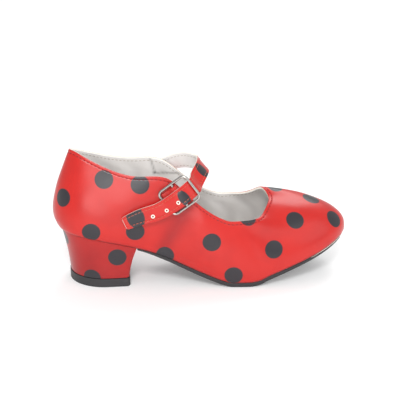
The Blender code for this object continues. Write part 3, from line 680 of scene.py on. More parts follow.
upper = {
    "around": 360,
    "upward": 30,               # rows below the stitched edge
    "wall": 1.8 * mm,
    "edgeDrops": (7.0, 5.6, 4.5, 3.7, 3.1, 2.7, 2.4, 2.2, 2.0, 1.7, 1.3, 0.8, 0.35, 0.0),
    "stitchDrop": 2.2,          # millimetres below the edge
    "grooveWidth": 0.45,        # and across the groove that the stitches pull in
    "groove": 0.22 * mm,
    "puffDrop": 1.0,            # the padded rim above the stitches
    "puffWidth": 0.7,
    "puff": 0.12 * mm,
    "uneven": 0.09 * mm,
    "footHeight": 6 * mm,       # above this the unevenness and creases are in full
    "farBelow": 20 * mm,
    "gather": 0.10 * mm,
    "gathers": 70,              # round the shoe
    "gatherStart": 120 * mm,
    "gatherReach": 50 * mm,
    "rollHeight": 3.5 * mm,
    "roll": 0.4 * mm,
    "tuck": 0.25 * mm,
    # painted shade along the rolled lower edge, where the upper stands over the heel and the sole
    "footShade": 0.9,
    "foldDrop": 12,
    "fold": 0.40 * mm,
    # painted shade in the hollows of the lining's folds
    "foldShade": 0.16,
    "softness": 0.35,
    "patchCorner": (43, 70.5),  # millimetres along and up
    "patchTop": 74,
    "patchSlant": 0.3,
    "patch": 0.70 * mm,
    # painted shade along the edge of the lining's patch
    "patchShade": 2.4,
    "knot": (43.3, 70.6),
    "knotSize": 1.2,
    "fineLevels": 161,
    "rawRows": 4,               # of the rim's rows, pale from the cut
    "dotRadius": 6.75 * mm,
}
# over the top edge: share of the wall, and millimetres above it
rimProfile = (
    (0.06, 0.16), (0.20, 0.26), (0.26, 0.20), (0.50, 0.26), (0.74, 0.20), (0.80, 0.26), (0.94, 0.14)
)
topStitch = {"length": 2.2 * mm, "pitch": 3.0 * mm, "width": 0.5 * mm}

# dots printed on the leather, centres in millimetres
upperDots = (
    (-23.9, -11.6, 66.6), (4.6, -18.2, 82.4), (30.6, -22.1, 79.0), (-5.9, -25.1, 45.4),
    (25.6, -27.5, 45.2), (80.2, -33.0, 36.6), (95.7, -35.7, 11.1), (125.4, -33.3, 28.7),
    (143.4, -19.8, 45.2), (175.0, -9.6, 40.4), (159.2, 3.2, 50.6), (132.4, 12.0, 56.8),
    (46.6, -26.3, 24.8), (94.4, 23.0, 50.0),
    (-21.0, 18.0, 50.0), (-6.0, 15.0, 79.0), (6.0, 24.5, 54.0), (22.0, 20.0, 78.0),
    (33.0, 25.0, 54.0), (49.0, 23.5, 76.0), (60.0, 25.5, 50.0), (46.0, 23.0, 28.0),
    (82.0, 28.0, 30.0), (104.0, 31.5, 34.0), (112.0, 33.5, 12.0), (134.0, 32.5, 28.0),
    (152.0, 24.5, 42.0), (160.0, 28.0, 20.0), (181.0, 12.0, 24.0),
)
throatDots = ((107.6, -25.1, 52.2),)    # cut by the throat's edge

# a crease dents the leather by depth and darkens its colour by shade: painted shade in the hollow
Crease = namedtuple("Crease", "startX startZ endX endZ side width depth shade")
creases = (
    Crease(63, 60, 45, 31, -1, 6.0, 1.00, 0.60),    # soft trough below the buckle
    Crease(75, 52, 62, 24, -1, 5.0, -0.40, 0.0),    # the roll in front of it
    Crease(58, 20, 78, 12, -1, 3.0, 0.40, 0.10),    # at the waist, above the sole
    Crease(104, 40, 120, 12, -1, 4.0, 0.30, 0.06),  # where the ball bends
    Crease(62, 58, 52, 32, 1, 5.0, 0.60, 0.20),
    Crease(104, 44, 118, 14, 1, 4.0, 0.35, 0.08),
)


def creaseDepths(points):
    depth = np.zeros(points.shape[:-1])
    shade = np.zeros(points.shape[:-1])
    flat = points[..., (0, 2)] / mm
    for c in creases:
        start = np.array([c.startX, c.startZ], float)
        way = np.array([c.endX, c.endZ], float) - start
        share = np.clip(((flat - start) @ way) / way.dot(way), 0, 1)
        reach = np.linalg.norm(flat - start - share[..., None] * way, axis=-1) / c.width
        near = np.exp(-reach**2) * (points[..., 1] * c.side > 0)
        depth += near * c.depth * mm
        # painted shade in the crease
        shade += near * c.shade
    return depth, shade


def mound(away, width):
    return np.exp(-((away / width) ** 2))


def softStep(past):
    return 1 / (1 + np.exp(-past / upper["softness"]))


def upperLevels(turns, drops):
    # levels whose last rows lie the same drops below the top edge all the way round
    fine = np.linspace(0, 1, upper["fineLevels"])
    first = upperSurface(turns, fine)
    walked = np.cumsum(np.linalg.norm(np.diff(first, axis=1), axis=2), axis=1)
    walked = np.concatenate([np.zeros((len(turns), 1)), walked], axis=1)
    lower = np.linspace(0, 1, upper["upward"], endpoint=False)
    levels = []
    for row in walked:
        wanted = np.concatenate([lower * (row[-1] - drops[0]), row[-1] - drops])
        levels.append(np.interp(wanted, row, fine))
    return np.array(levels)


def leatherLift(outer, turns, below, high, depth):
    # how far the leather stands off the last; sines of the place make it a little uneven
    x, y, z = np.moveaxis(outer, 2, 0)
    groove = mound(below - upper["stitchDrop"], upper["grooveWidth"]) * upper["groove"]
    puff = mound(below - upper["puffDrop"], upper["puffWidth"]) * upper["puff"]
    wave = np.sin(x * 210 + 1.3) * np.sin(z * 260 + 0.4) + 0.6 * np.sin(x * 95 - z * 140 + y * 60)
    lift = puff[None] - groove[None] + high * (upper["uneven"] * wave - depth)
    # small gathers where the leather is lasted under the toe
    climb = (z - z[:, :1]) / upper["rollHeight"]
    toe = np.clip((x - upper["gatherStart"]) / upper["gatherReach"], 0, 1)
    gathers = np.sin(turns * 2 * pi * upper["gathers"])[:, None]
    lift += upper["gather"] * toe * gathers * mound(climb, 1) * np.clip(climb * 2, 0, 1)
    # the rolled lower edge, which stands over the heel and the sole
    return lift + upper["roll"] * mound(climb - 0.5, 0.35) - upper["tuck"] * mound(climb, 0.15), climb


def liningSurface(outer, normals, below, high):
    x, y, z = np.moveaxis(outer, 2, 0)
    inner = outer - normals * upper["wall"]
    # soft folds, where the lining lies loose
    loose = np.clip(below / upper["foldDrop"], 0, 1) * high
    folds = np.sin(x * 330 + z * 120 + 1.5 * np.sin(z * 150))
    inner -= normals * (loose * folds * upper["fold"])[:, :, None]
    inner[:, 0, 2] = outer[:, 0, 2]
    # the strap's patch stands proud on the inner side, with a knot at its corner
    cornerX, cornerZ = upper["patchCorner"]
    slant = (z / mm - upper["patchTop"]) * upper["patchSlant"]
    patch = softStep(x / mm - cornerX + slant) * softStep(z / mm - cornerZ) * (y > 0)
    inner -= normals * (patch * upper["patch"])[:, :, None]
    knotX, knotZ = upper["knot"]
    knot = (inner[:, :, 0] / mm - knotX) ** 2 + (inner[:, :, 2] / mm - knotZ) ** 2
    # painted shade along the patch's edge and in the folds' hollows; the knot is added as a small dark mark
    shade = upper["patchShade"] * patch * (1 - patch) + upper["foldShade"] * loose * np.clip(-folds, 0, 1)
    return inner, shade + np.exp(-knot / upper["knotSize"]) * (inner[:, :, 1] > 0)


def makeUpper():
    turns = np.arange(upper["around"]) / upper["around"]
    drops = np.array(upper["edgeDrops"]) * mm
    outer = upperSurface(turns, upperLevels(turns, drops))
    normals = gridNormals(outer)
    below = np.concatenate([np.full(upper["upward"], upper["farBelow"]), drops]) / mm
    high = np.clip((outer[:, :, 2] - outer[:, :1, 2]) / upper["footHeight"], 0, 1)
    depth, shade = creaseDepths(outer)
    lift, climb = leatherLift(outer, turns, below, high, depth)
    skin = outer + normals * lift[:, :, None]
    inner, liningShadeAndKnot = liningSurface(outer, normals, below, high)
    top = skin[:, -1]
    across = inner[:, -1] - top
    upWay = outer[:, -1] - outer[:, -3]
    upWay /= np.linalg.norm(upWay, axis=1)[:, None]
    rows = list(np.moveaxis(skin, 1, 0))
    rows += [top + across * share + upWay * rise * mm for share, rise in rimProfile]
    skinCount = len(rows)
    rows += list(np.moveaxis(inner, 1, 0))[::-1]
    points, faces, owner = loft(rows, True)
    leatherRows = skin.shape[1] + 1
    rawRows = leatherRows + upper["rawRows"]
    slots = [0 if r < leatherRows else 2 if r < rawRows else 1 for r, _ in owner]
    mesh = meshFrom("upper", points, faces, slots, 60)
    printDots(mesh, upperDots, upper["dotRadius"], throatDots)
    shades = np.zeros((len(rows), len(turns)))
    # painted shade in the creases and along the rolled lower edge; the lining rows take the lining's painted
    # shade and the knot's mark
    shades[: skin.shape[1]] = (shade + upper["footShade"] * mound(climb, 0.35)).T
    shades[skinCount:] = liningShadeAndKnot.T[::-1]
    addValues(mesh, "paintedShadeAndMarks", shades.reshape(-1))
    addPiece("upperLeather", mesh, [dottedLeather, greyLining, rawEdge], ["upper"])
    row = upper["upward"] + upper["edgeDrops"].index(upper["stitchDrop"])
    for name, surface, flip, thread, slot in (
        ("toplineStitches", skin, 1, redThread, "dotted_leather"),
        ("liningStitches", inner, -1, paleThread, "lining"),
    ):
        points, faces = stitchRow(surface[:, row], flip * normals[:, row], topStitch, True)
        addPiece(name, meshFrom(name, points, faces), [thread])


makeUpper()
print("upper made")

# insole, outsole and the glue line at the toe

underfoot = {
    "insoleThickness": 2.2 * mm,
    "insoleClearance": 0.6 * mm,
    "insoleStart": 0.012,
    "outsoleInset": 0.6 * mm,
    "outsoleBevel": 0.7 * mm,
    "glueStart": 0.410,         # turns round the shoe
    "glueEnd": 0.60,
    "glueWidth": 0.5 * mm,
}


def pairedOutline(starts, ends, shares, inset):
    return [
        featherLine([start + (end - start) * share for share in shares], inset)[0]
        for start, end in zip(starts, ends)
    ]


def withHeight(points, height):
    return np.array([(x, y, height(x)) for x, y in points])


def makeInsole():
    start = underfoot["insoleStart"]
    inset = upper["wall"] + underfoot["insoleClearance"]
    shares = np.concatenate([[0, 0.02, 0.045], np.linspace(0.08, 0.94, 90), [0.955, 0.97, 0.985]])
    outer, inner = pairedOutline([start, 1 - start], [tipTurn()] * 2, shares, inset)
    heights = (underfoot["insoleThickness"], last["seamGap"] / 2)
    sections = [
        [withHeight(side, lambda x, up=up: bottomHeight(x) + up) for side in (outer, inner)]
        for up in heights
    ]
    points, faces, _ = ladder(sections)
    piece = addPiece("insoleSock", meshFrom("insoleSock", points, faces), [sockCloth], ["insole"])
    smoothEdges(piece, 0.6 * mm)


def makeOutsole():
    starts = [turnAt(last["breastReach"], side) for side in (-1, 1)]
    shares = np.concatenate([np.linspace(0, 0.8, 110), [0.83, 0.86, 0.895, 0.93, 0.96, 0.985]])
    sides = pairedOutline(starts, [tipTurn()] * 2, shares, underfoot["outsoleInset"])
    reach = last["length"] - last["backReach"] - last["breastReach"]

    def top(x):
        return bottomHeight(x) - last["seamGap"]

    def bottom(x):
        taper = steadyCurve(soleTaper, (x - last["breastReach"]) / reach)
        return top(x) - last["soleThickness"] * taper

    sections = [[withHeight(side, height) for side in sides] for height in (top, bottom)]
    points, faces, _ = ladder(sections)
    mesh = meshFrom("outsoleBlack", points, faces)
    piece = addPiece("outsoleBlack", mesh, [blackSole], ["outsole"])
    smoothEdges(piece, underfoot["outsoleBevel"], 4)


def makeGlueLine():
    turns = np.linspace(underfoot["glueStart"], underfoot["glueEnd"], 90)
    flat, outward = featherLine(turns, -0.1 * mm)
    rise = -last["seamGap"] / 2
    points = [(x, y, bottomHeight(x) + rise) for x, y in flat]
    ends = np.sin(np.linspace(0, pi, 90)) ** 0.4
    radius = underfoot["glueWidth"] / 2 * np.maximum(ends, 0.15)
    points, faces = tubeAlong(points, radius, 6)
    addPiece("glueLine", meshFrom("glueLine", points, faces), [rawEdge])


makeInsole()
makeOutsole()
makeGlueLine()
print("soles made")

# heel and its tread

heel = {
    "treadThickness": 6.5 * mm,
    "treadLength": 43.4 * mm,
    "treadWidth": 48 * mm,
    "lip": 0.5 * mm,            # the tread stands this far outside the heel
    "corner": 3 * mm,
    "waist": 0.8 * mm,
    "inset": 0.8 * mm,
    "backReach": 1.25,
    "start": 0.004,
    "levels": 30,
    # painted shade: the heel cover is darkened all over, and more towards the tread below
    "shade": 0.50,
    "footShade": 0.30,          # added towards the tread
    "shadeStart": 6,            # millimetres above the floor
    "shadeReach": 26,
}
heelDots = (
    (12.2, -23.7, 23.6), (-6.3, -20.6, 6.2), (-23.5, -5.5, 34.5), (-20.6, 9.0, 12.0),
    (-11.0, 19.0, 27.0), (7.0, 22.5, 12.0), (19.0, 23.0, 31.0),
)


def treadOutline(inset):
    # one side's points from the middle of the back to the breast
    halfLength = heel["treadLength"] / 2 - inset
    halfWidth = heel["treadWidth"] / 2 - inset
    roundReach = halfLength * heel["backReach"]
    corner = heel["corner"]
    points = []
    for angle in np.linspace(0.04, 1, 31) * pi / 2:
        points.append((-halfLength + roundReach * (1 - cos(angle)), halfWidth * sin(angle)))
    reach = halfLength - corner - (-halfLength + roundReach)
    for share in np.linspace(0, 1, 9)[1:-1]:
        points.append((-halfLength + roundReach + reach * share, halfWidth))
    for angle in np.linspace(0, 1, 9) * pi / 2:
        points.append((halfLength - corner + corner * sin(angle), halfWidth - corner * (1 - cos(angle))))
    return np.array(points)


def makeHeel():
    tread = treadOutline(heel["lip"])
    steps = np.linalg.norm(np.diff(tread, axis=0), axis=1)
    shares = np.concatenate([[0], np.cumsum(steps)]) / steps.sum()
    ends = [turnAt(last["breastReach"] - last["seamGap"], side) for side in (-1, 1)]
    seat = pairedOutline([heel["start"], 1 - heel["start"]], ends, shares, heel["inset"])
    foot = heel["treadThickness"] + last["seamGap"]
    sections = []
    for t in np.linspace(0, 1, heel["levels"]):
        hollow = heel["waist"] * sin(pi * t)
        section = []
        for side, mirror in zip(seat, (-1, 1)):
            ring = []
            for (x, y), (treadX, treadY) in zip(side, tread):
                top = bottomHeight(x) - last["seamGap"]
                sideY = treadY * mirror
                along = x + (treadX - x) * t - hollow * treadX / (heel["treadLength"] / 2)
                across = y + (sideY - y) * t - hollow * sideY / (heel["treadWidth"] / 2)
                ring.append((along, across, top + (foot - top) * t))
            section.append(np.array(ring))
        sections.append(section)
    points, faces, breast = ladder(sections)
    slots = np.zeros(len(faces), int)
    slots[breast] = 1
    mesh = meshFrom("heelCover", points, faces, slots)
    printDots(mesh, heelDots, upper["dotRadius"])
    points = coordinates(mesh)
    # painted shade on the heel cover, darker towards the floor
    low = np.clip(1 - (points[:, 2] / mm - heel["shadeStart"]) / heel["shadeReach"], 0, 1)
    addValues(mesh, "paintedShadeAndMarks", heel["shade"] + heel["footShade"] * low)
    piece = addPiece("heelCover", mesh, [dottedLeather, plainLeather], ["heel"])
    smoothEdges(piece, 0.5 * mm, 2, 50)


def makeTread():
    tread = treadOutline(0)
    heights = (heel["treadThickness"], heel["treadThickness"] * 0.5, 0)
    sections = [
        [np.array([(x, y * mirror, z) for x, y in tread]) for mirror in (-1, 1)] for z in heights
    ]
    points, faces, _ = ladder(sections)
    mesh = meshFrom("heelTread", points, faces)
    piece = addPiece("heelTread", mesh, [blackTread], ["heel_cap"])
    smoothEdges(piece, 0.6 * mm, 3, 50)


makeHeel()
makeTread()
print("heel made")

# strap, tab and buckle

strap = {
    "width": 12.5 * mm,
    "tipWidth": 9.6 * mm,
    "taper": 24 * mm,           # the tip narrows over this length
    "thickness": 1.8 * mm,
    "corner": 2.0 * mm,
    "tipThin": 0.35,            # the raw end slopes to this share of the thickness
    "ease": 0.9 * mm,
    "holeDiameter": 2.4 * mm,
    "holeFromTip": 21.5 * mm,
    "holeSpacing": 10.5 * mm,
    "holes": 3,
    "holeDrop": 1.8 * mm,
    "rim": 0.42 * mm,           # raw leather pushed up round the holes
    "stitchIn": 2.1 * mm,       # the rows' distance from the edges
    "groove": 0.15 * mm,
    "dome": 0.1 * mm,
    "stations": 300,
}
buckle = {
    "length": 26 * mm,
    "width": 22 * mm,
    "wire": 2.0 * mm,
    "bar": 1.8 * mm,
    "corner": 3.5 * mm,
    "along": 0.415,
    "rise": 0.907,
    "standOff": 4.6 * mm,
    "strapShift": 1.3 * mm,
    "turn": 37,
    "tilt": 12,
}
tab = {
    "width": 13 * mm,
    "thickness": 1.2 * mm,
    "tail": 10 * mm,
    "fold": 6 * mm,
    "shift": 1.2 * mm,
}
strapStitch = {"length": 1.9 * mm, "pitch": 2.6 * mm, "width": 0.45 * mm}

Turn = namedtuple("Turn", "name along across rise standOff leanX leanY leanZ")
strapBefore = (
    Turn("stitchedEnd",  0.333,  None,  0.660, 0.9, -0.45,  0.00, 0.90),
    Turn("stitchedBox",  0.373,  None,  0.850, 0.9, -0.40, -0.10, 0.90),
    Turn("offTheInside", 0.415,  0.705, 0.985, 0.0, -0.30, -0.15, 0.95),
    Turn("innerSide",    0.456,  0.690, 1.080, 0.0, -0.10, -0.12, 0.99),
    Turn("innerBend",    0.492,  0.560, 1.135, 0.0, -0.20, -0.15, 0.97),
    Turn("overTheFoot",  0.506,  0.230, 1.205, 0.0, -0.62,  0.00, 0.78),
    Turn("outerBend",    0.493, -0.180, 1.195, 0.0, -0.66,  0.20, 0.72),
    Turn("outerSide",    0.471, -0.490, 1.105, 0.0, -0.62,  0.25, 0.75),
)
strapAfter = (
    Turn("pastTheBuckle", 0.350, None, 0.622, 4.2, -0.45, 0.20, 0.88),
    Turn("middleOfTail",  0.296, None, 0.487, 3.2, -0.25, 0.20, 0.96),
    Turn("tip",           0.231, None, 0.324, 2.4, -0.15, 0.20, 0.97),
)


def openCurve(points, count):
    points = np.asarray(points, float)
    places = np.concatenate([[0], np.cumsum(np.linalg.norm(np.diff(points[:, :3], axis=0), axis=1))])
    step = np.diff(places)
    rise = np.diff(points, axis=0) / step[:, None]
    n = len(points)
    system = np.eye(n)
    wanted = np.zeros_like(points)
    for i in range(1, n - 1):
        system[i, i - 1] = step[i - 1]
        system[i, i] = 2 * (step[i - 1] + step[i])
        system[i, i + 1] = step[i]
        wanted[i] = 6 * (rise[i] - rise[i - 1])
    bend = np.linalg.solve(system, wanted)

    def at(t):
        i = min(int(np.searchsorted(places, t, side="right")) - 1, n - 2)
        h = step[i]
        a, b = (places[i + 1] - t) / h, (t - places[i]) / h
        straight = a * points[i] + b * points[i + 1]
        return straight + ((a**3 - a) * bend[i] + (b**3 - b) * bend[i + 1]) * h * h / 6

    fine = np.linspace(0, places[-1], 1200)
    rows = np.array([at(t) for t in fine])
    walked = np.concatenate([[0], np.cumsum(np.linalg.norm(np.diff(rows[:, :3], axis=0), axis=1))])
    even = np.interp(np.linspace(0, walked[-1], count), walked, fine)
    return np.array([at(t) for t in even]), walked[-1]


def buckleAxes():
    x = buckle["along"] * last["length"] - last["backReach"]
    z = bottomHeight(x) + buckle["rise"] * last["backHeight"]
    onQuarter, outward = quarterPoint(x, z, -1)
    heelward = Vector((-cos(radians(buckle["turn"])), 0, -sin(radians(buckle["turn"]))))
    along = (heelward - outward * heelward.dot(outward)).normalized()
    return onQuarter + outward * buckle["standOff"], along, along.cross(outward), outward


def strapRows():
    rows = []

    def add(turn, side):
        x = turn.along * last["length"] - last["backReach"]
        z = bottomHeight(x) + turn.rise * last["backHeight"]
        lean = Vector((turn.leanX, turn.leanY, turn.leanZ))
        if turn.across is None:
            onQuarter, outward = quarterPoint(x, z, side)
            point = onQuarter + outward * turn.standOff * mm
            lean -= outward * lean.dot(outward)
        else:
            point = Vector((x, turn.across * last["halfWidth"], z))
        rows.append((*point, *lean))

    for turn in strapBefore:
        add(turn, 1)
    middle, along, across, outward = buckleAxes()
    wire = buckle["wire"] / 2
    end = buckle["length"] / 2 - wire
    sink = end * sin(radians(buckle["tilt"]))
    gap = last["seamGap"]
    heights = (
        (-end, sink - wire - gap - strap["thickness"] - 2 * strap["ease"]),
        (-end * 0.05, wire + gap + tab["thickness"] + gap),
        (end * 0.95, -sink + wire + gap + strap["ease"]),
    )
    for reach, height in heights:
        point = middle + along * reach + outward * height - across * buckle["strapShift"]
        rows.append((*point, *across))
    for turn in strapAfter:
        add(turn, -1)
    return rows


def strapFrames(count):
    rows, length = openCurve(strapRows(), count)
    points = rows[:, :3]
    tangents = np.gradient(points, axis=0)
    tangents /= np.linalg.norm(tangents, axis=1)[:, None]
    leans = rows[:, 3:] - tangents * (rows[:, 3:] * tangents).sum(1)[:, None]
    leans /= np.linalg.norm(leans, axis=1)[:, None]
    return points, tangents, leans, np.cross(leans, tangents), length


def bandProfile(width, thickness, groove=0.0, groovesIn=0.0, dome=0.0):
    # (across, out, slot) round a band: its face, cut edges and back
    half = width / 2
    profile = []
    for share in np.linspace(-1, 1, 27):
        across = share * (half - 0.22 * mm)
        out = thickness + dome * (1 - share**2)
        for row in (-1, 1):
            out -= groove * np.exp(-(((across - row * (half - groovesIn)) / (0.5 * mm)) ** 2))
        profile.append((across, out, 0))
    profile.append((half, thickness - 0.25 * mm, 2))
    profile.append((half, thickness * 0.55, 2))
    profile.append((half, 0.25 * mm, 1))
    for share in np.linspace(1, -1, 9):
        profile.append((share * (half - 0.2 * mm), 0.0, 1))
    profile.append((-half, 0.25 * mm, 2))
    profile.append((-half, thickness * 0.55, 2))
    profile.append((-half, thickness - 0.25 * mm, 0))
    return profile


def halfWidthAt(at, length):
    half = strap["width"] / 2
    narrowed = np.maximum(at - (length - strap["taper"]), 0) / strap["taper"]
    return half + (strap["tipWidth"] / 2 - half) * narrowed**1.5


def makeStrap():
    count = strap["stations"]
    points, tangents, leans, outward, length = strapFrames(count)
    walked = np.linspace(0, length, count)
    half = strap["width"] / 2
    dome = strap["dome"]
    profile = bandProfile(strap["width"], strap["thickness"] - dome, strap["groove"], strap["stitchIn"], dome)
    rows = []
    for point, lean, way, at in zip(points, leans, outward, walked):
        cut = min(max(at - (length - strap["corner"]), 0), strap["corner"])
        corner = strap["corner"] - (strap["corner"] ** 2 - cut**2) ** 0.5
        scale = (halfWidthAt(at, length) - corner * 0.8) / half
        thin = strap["tipThin"] if at == length else 1
        lean = lean * scale
        way = way * thin
        rows.append(np.array([point + lean * across + way * out for across, out, _ in profile]))
    bandPoints, faces, owner = loft(rows)
    slots = [2 if r < 0 or r == count - 2 else profile[c][2] for r, c in owner]
    mesh = meshFrom("strapLeather", bandPoints, faces, slots)
    piece = bpy.data.objects.new("strapLeather", mesh)
    bpy.context.scene.collection.objects.link(piece)
    cutters = []
    rims = []
    for k in range(strap["holes"]):
        at = length - strap["holeFromTip"] - k * strap["holeSpacing"]
        row = points - leans * strap["holeDrop"]
        middle = np.array([np.interp(at, walked, row[:, axis]) for axis in range(3)])
        way = np.array([np.interp(at, walked, outward[:, axis]) for axis in range(3)])
        way /= np.linalg.norm(way)
        side = np.array([np.interp(at, walked, leans[:, axis]) for axis in range(3)])
        side -= way * side.dot(way)
        side /= np.linalg.norm(side)
        other = np.cross(way, side)
        rings = []
        for height in (-3 * mm, 6 * mm):
            angles = [2 * pi * n / 28 for n in range(28)]
            radius = strap["holeDiameter"] / 2
            rings.append(np.array([
                middle + way * height + (side * cos(a) + other * sin(a)) * radius for a in angles
            ]))
        cutPoints, cutFaces, _ = loft(rings)
        cutMesh = meshFrom("holeCutter", cutPoints, cutFaces, [2] * len(cutFaces))
        cutter = bpy.data.objects.new("holeCutter", cutMesh)
        bpy.context.scene.collection.objects.link(cutter)
        cut = piece.modifiers.new("hole", "BOOLEAN")
        cut.operation = "DIFFERENCE"
        cut.object = cutter
        cutters.append(cutter)
        lip = [
            middle + way * (strap["thickness"] + 0.02 * mm)
            + (side * cos(a) + other * sin(a)) * (strap["holeDiameter"] / 2 - strap["rim"] / 3)
            for a in np.linspace(0, 2 * pi, 29)[:-1]
        ]
        rims.append(tubeAlong(lip, strap["rim"], 8, True, 0.7, way))
    bpy.context.view_layer.update()
    pierced = bpy.data.meshes.new_from_object(piece.evaluated_get(bpy.context.evaluated_depsgraph_get()))
    for obj in (piece, *cutters):
        bpy.data.objects.remove(obj)
    pierced.name = "strapLeather"
    pierced.shade_smooth()
    pierced.set_sharp_from_angle(angle=radians(40))

    def onStrap(at, across, out=strap["thickness"]):
        here = [np.interp(at, walked, points[:, axis] + leans[:, axis] * across + outward[:, axis] * out)
                for axis in range(3)]
        return np.array(here)

    corners = coordinates(pierced)
    nearest = np.full(len(corners), 20.0)
    for x, y, z, radius, squeeze in strapDots:
        middle = np.array([x, y, z]) * mm
        way = tangents[np.argmin(np.linalg.norm(points - middle, axis=1))]
        offset = corners - middle
        along = offset @ way
        reach = np.sqrt((offset**2).sum(1) - along**2 + (along / squeeze) ** 2)
        nearest = np.minimum(nearest, reach / mm - radius)
    addValues(pierced, "dotEdge", nearest)
    addPiece("strapLeather", pierced, [dottedLeather, greyLining, rawEdge], ["strap"])
    addPiece("strapHoleRims", meshFrom("strapHoleRims", *joined(rims)), [rawEdge])

    # the rows along both edges, over the tip and round the stitched end
    def inset(at):
        return halfWidthAt(at, length) - strap["stitchIn"]

    ends = (2.4 * mm, length - 2.4 * mm)
    reach = np.linspace(*ends, 260)
    path = [(at, -inset(at)) for at in reach]
    path += [(ends[1], inset(ends[1]) * share) for share in np.linspace(-1, 1, 12)[1:-1]]
    path += [(at, inset(at)) for at in reach[::-1]]
    path += [(ends[0], inset(ends[0]) * share) for share in np.linspace(1, -1, 12)[1:-1]]
    parts = []
    for out, flip in ((strap["thickness"] - 0.12 * mm, 1), (0.02 * mm, -1)):
        line = [onStrap(at, across, out) for at, across in path]
        ways = [flip * np.array([np.interp(at, walked, outward[:, axis]) for axis in range(3)])
                for at, _ in path]
        parts.append(stitchRow(line, ways, strapStitch, True))
    addPiece("strapStitches", meshFrom("strapStitches", *parts[0]), [paintedGlintThread])
    addPiece("strapBackStitches", meshFrom("strapBackStitches", *parts[1]), [paleThread])
    # the box that holds the strap to the inner side
    box = [(3.4, -3.0), (11.0, -3.0), (11.0, 3.0), (3.4, 3.0), (3.4, -3.0), (11.0, 3.0)]
    boxPath = []
    for (a, b), (c, d) in zip(box, box[1:]):
        boxPath += [(a + (c - a) * t, b + (d - b) * t) for t in np.linspace(0, 1, 12)[:-1]]
    line = [onStrap(at * mm, across * mm, strap["thickness"]) for at, across in boxPath]
    ways = [[np.interp(at * mm, walked, outward[:, axis]) for axis in range(3)] for at, _ in boxPath]
    addPiece("strapBoxStitches", meshFrom("strapBoxStitches", *stitchRow(line, ways, strapStitch)),
             [paintedGlintThread])


# dots on the strap: centre and radius in millimetres, and how far the bend shortens them along it
strapDots = (
    (25.9, -31.1, 58.1, 9.0, 0.70), (60.7, -34.0, 72.2, 6.75, 0.54), (75.6, -6.0, 81.6, 6.75, 0.70),
    (60.7, 25.7, 86.5, 6.75, 0.90), (46.0, 24.5, 66.0, 6.75, 1.0),
)


def makeBuckle():
    middle, along, across, outward = buckleAxes()
    along = Matrix.Rotation(radians(-buckle["tilt"]), 3, across) @ along
    halfLength = (buckle["length"] - buckle["wire"]) / 2
    halfWidth = (buckle["width"] - buckle["wire"]) / 2
    corner = buckle["corner"]
    ring = []
    for signX, signY, start in ((1, 1, 0), (-1, 1, 90), (-1, -1, 180), (1, -1, 270)):
        centre = (signX * (halfLength - corner), signY * (halfWidth - corner))
        for angle in np.radians(start + np.linspace(0, 90, 13)):
            reach, aside = centre[0] + corner * cos(angle), centre[1] + corner * sin(angle)
            ring.append(middle + along * reach + across * aside)
    dense = []
    for a, b in zip(ring, ring[1:] + ring[:1]):
        steps = max(1, round((b - a).length / (1.5 * mm)))
        dense += [a.lerp(b, k / steps) for k in range(steps)]
    face = along.cross(across)
    parts = [tubeAlong(dense, buckle["wire"] / 2, 16, True, 0.92, face)]
    ends = [middle + across * halfWidth * share for share in np.linspace(-1, 1, 9)]
    parts.append(tubeAlong(ends, buckle["bar"] / 2, 14, False, 1.0, face))
    # the flared seats where the bar meets the frame
    for side in (-1, 1):
        seat = [middle + across * side * (halfWidth - reach * mm) for reach in (0.0, 0.8, 1.8)]
        parts.append(tubeAlong(seat, np.array([1.05, 1.0, 0.92]) * mm, 12, False, 0.85, face))
    mesh = meshFrom("buckleFrame", *joined(parts), sharp=50)
    addPiece("buckleFrame", mesh, [buckleSteel], ["buckle"])


def makeTab():
    middle, along, across, outward = buckleAxes()
    hole = buckle["wire"] / 2 + last["seamGap"]
    thick = tab["thickness"]
    loop = hole + thick
    end = middle + along * tab["tail"]
    onQuarter, _ = quarterPoint(end.x, end.z, -1)
    sunk = (onQuarter - middle).dot(outward) + 3 * last["seamGap"]

    def under(reach):
        return -loop + (sunk + loop) * reach / tab["tail"]

    fold, tail = tab["fold"], tab["tail"]
    radius = hole + thick / 2
    path = [(fold, under(fold) + 1.55 * thick), (fold * 0.6, under(fold * 0.6) + 1.9 * thick)]
    path += [(radius * cos(a), radius * sin(a)) for a in np.radians(np.linspace(80, 280, 15))]
    path += [(fold * 0.5, under(fold * 0.5) + thick / 2), (fold, under(fold) + thick / 2),
             (tail, under(tail) + thick / 2)]
    path = np.array([(a, b, 0) for a, b in path])
    smooth, _ = openCurve(path, 70)
    steps = np.gradient(smooth, axis=0)
    steps /= np.linalg.norm(steps, axis=1)[:, None]
    profile = bandProfile(tab["width"], thick * 0.94, 0.0, 0.0, 0.05 * mm)
    rows = []
    for (a, b, _), (stepA, stepB, _) in zip(smooth, steps):
        row = []
        for wide, out, _ in profile:
            lift = out - thick / 2
            reach, height = a + stepB * lift, b - stepA * lift
            row.append(middle + along * reach + outward * height + across * (wide + tab["shift"]))
        rows.append(np.array([tuple(p) for p in row]))
    points, faces, owner = loft(rows)
    slots = [2 if r < 0 else 0 for r, c in owner]
    mesh = meshFrom("tabLeather", points, faces, slots)
    addPiece("tabLeather", mesh, [plainLeather, greyLining, rawEdge], ["buckle_tab"])


makeStrap()
makeBuckle()
makeTab()
print("strap, buckle and tab made")

# floor, light and camera

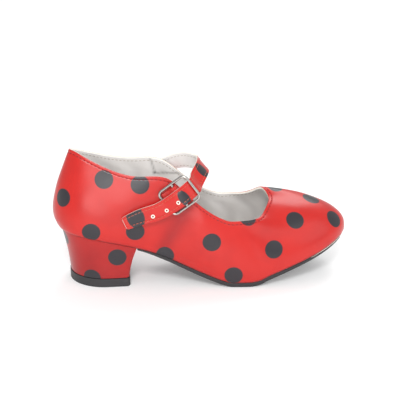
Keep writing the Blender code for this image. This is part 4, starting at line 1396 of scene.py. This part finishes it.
Lamp = namedtuple("Lamp", "name power size spot")
studio = {
    "floorColour": (0.90, 0.90, 0.90),
    "floorGlow": 0.12,
    "floorReach": 6,
    "floorDrop": 0.05 * mm,
    "aim": (0.07, 0, 0.04),
    "world": 0.62,
    "lights": (
        Lamp("keyLight", 8.5, 0.38, (-0.10, -0.95, 1.05)),
        Lamp("frontLight", 4, 0.45, (-0.19, -1.21, 0.41)),
        Lamp("fillLight", 5, 1.2, (1.2, -0.9, 0.8)),
        Lamp("ridgeLight", 6, 0.7, (0.45, 0.80, 1.0)),
    ),
}


def makeStudio():
    reach = studio["floorReach"]
    corners = [(-reach, -reach, 0), (reach, -reach, 0), (reach, reach, 0), (-reach, reach, 0)]
    floorMesh = meshFrom("floor", corners, [(0, 1, 2, 3)])
    floor = bpy.data.objects.new("floor", floorMesh)
    floor.location.z = -studio["floorDrop"]
    bpy.context.scene.collection.objects.link(floor)
    made, _, _ = newMaterial("paleFloor", Base_Color=studio["floorColour"], Roughness=0.6,
                             Emission_Color=(1.0, 1.0, 1.0), Emission_Strength=studio["floorGlow"])
    floorMesh.materials.append(made)
    world = bpy.data.worlds.new("paleRoom")
    world.use_nodes = True
    background = world.node_tree.nodes["Background"]
    background.inputs["Color"].default_value = (1, 1, 1, 1)
    background.inputs["Strength"].default_value = studio["world"]
    bpy.context.scene.world = world
    for light in studio["lights"]:
        data = bpy.data.lights.new(light.name, "AREA")
        data.energy = light.power
        data.size = light.size
        lamp = bpy.data.objects.new(light.name, data)
        lamp.location = light.spot
        way = Vector(studio["aim"]) - Vector(light.spot)
        lamp.rotation_euler = way.to_track_quat("-Z", "Y").to_euler()
        bpy.context.scene.collection.objects.link(lamp)


camera = {
    "azimuth": -6,
    "elevation": 23,
    "distance": 0.950,
    "target": (0.0753, 0.0, 0.0561),
    "frameWidth": 0.2948,       # metres across the picture at the target
    "sensor": 36,
}


def makeCamera():
    azimuth, elevation = radians(camera["azimuth"]), radians(camera["elevation"])
    back = Vector((sin(azimuth) * cos(elevation), -cos(azimuth) * cos(elevation), sin(elevation)))
    data = bpy.data.cameras.new("camera")
    data.sensor_width = camera["sensor"]
    data.lens = camera["sensor"] * camera["distance"] / camera["frameWidth"]
    view = bpy.data.objects.new("camera", data)
    view.location = Vector(camera["target"]) + back * camera["distance"]
    view.rotation_euler = back.to_track_quat("Z", "Y").to_euler()
    bpy.context.scene.collection.objects.link(view)
    bpy.context.scene.camera = view


makeStudio()
makeCamera()
bpy.context.scene.view_settings.view_transform = "Standard"
print("studio made")
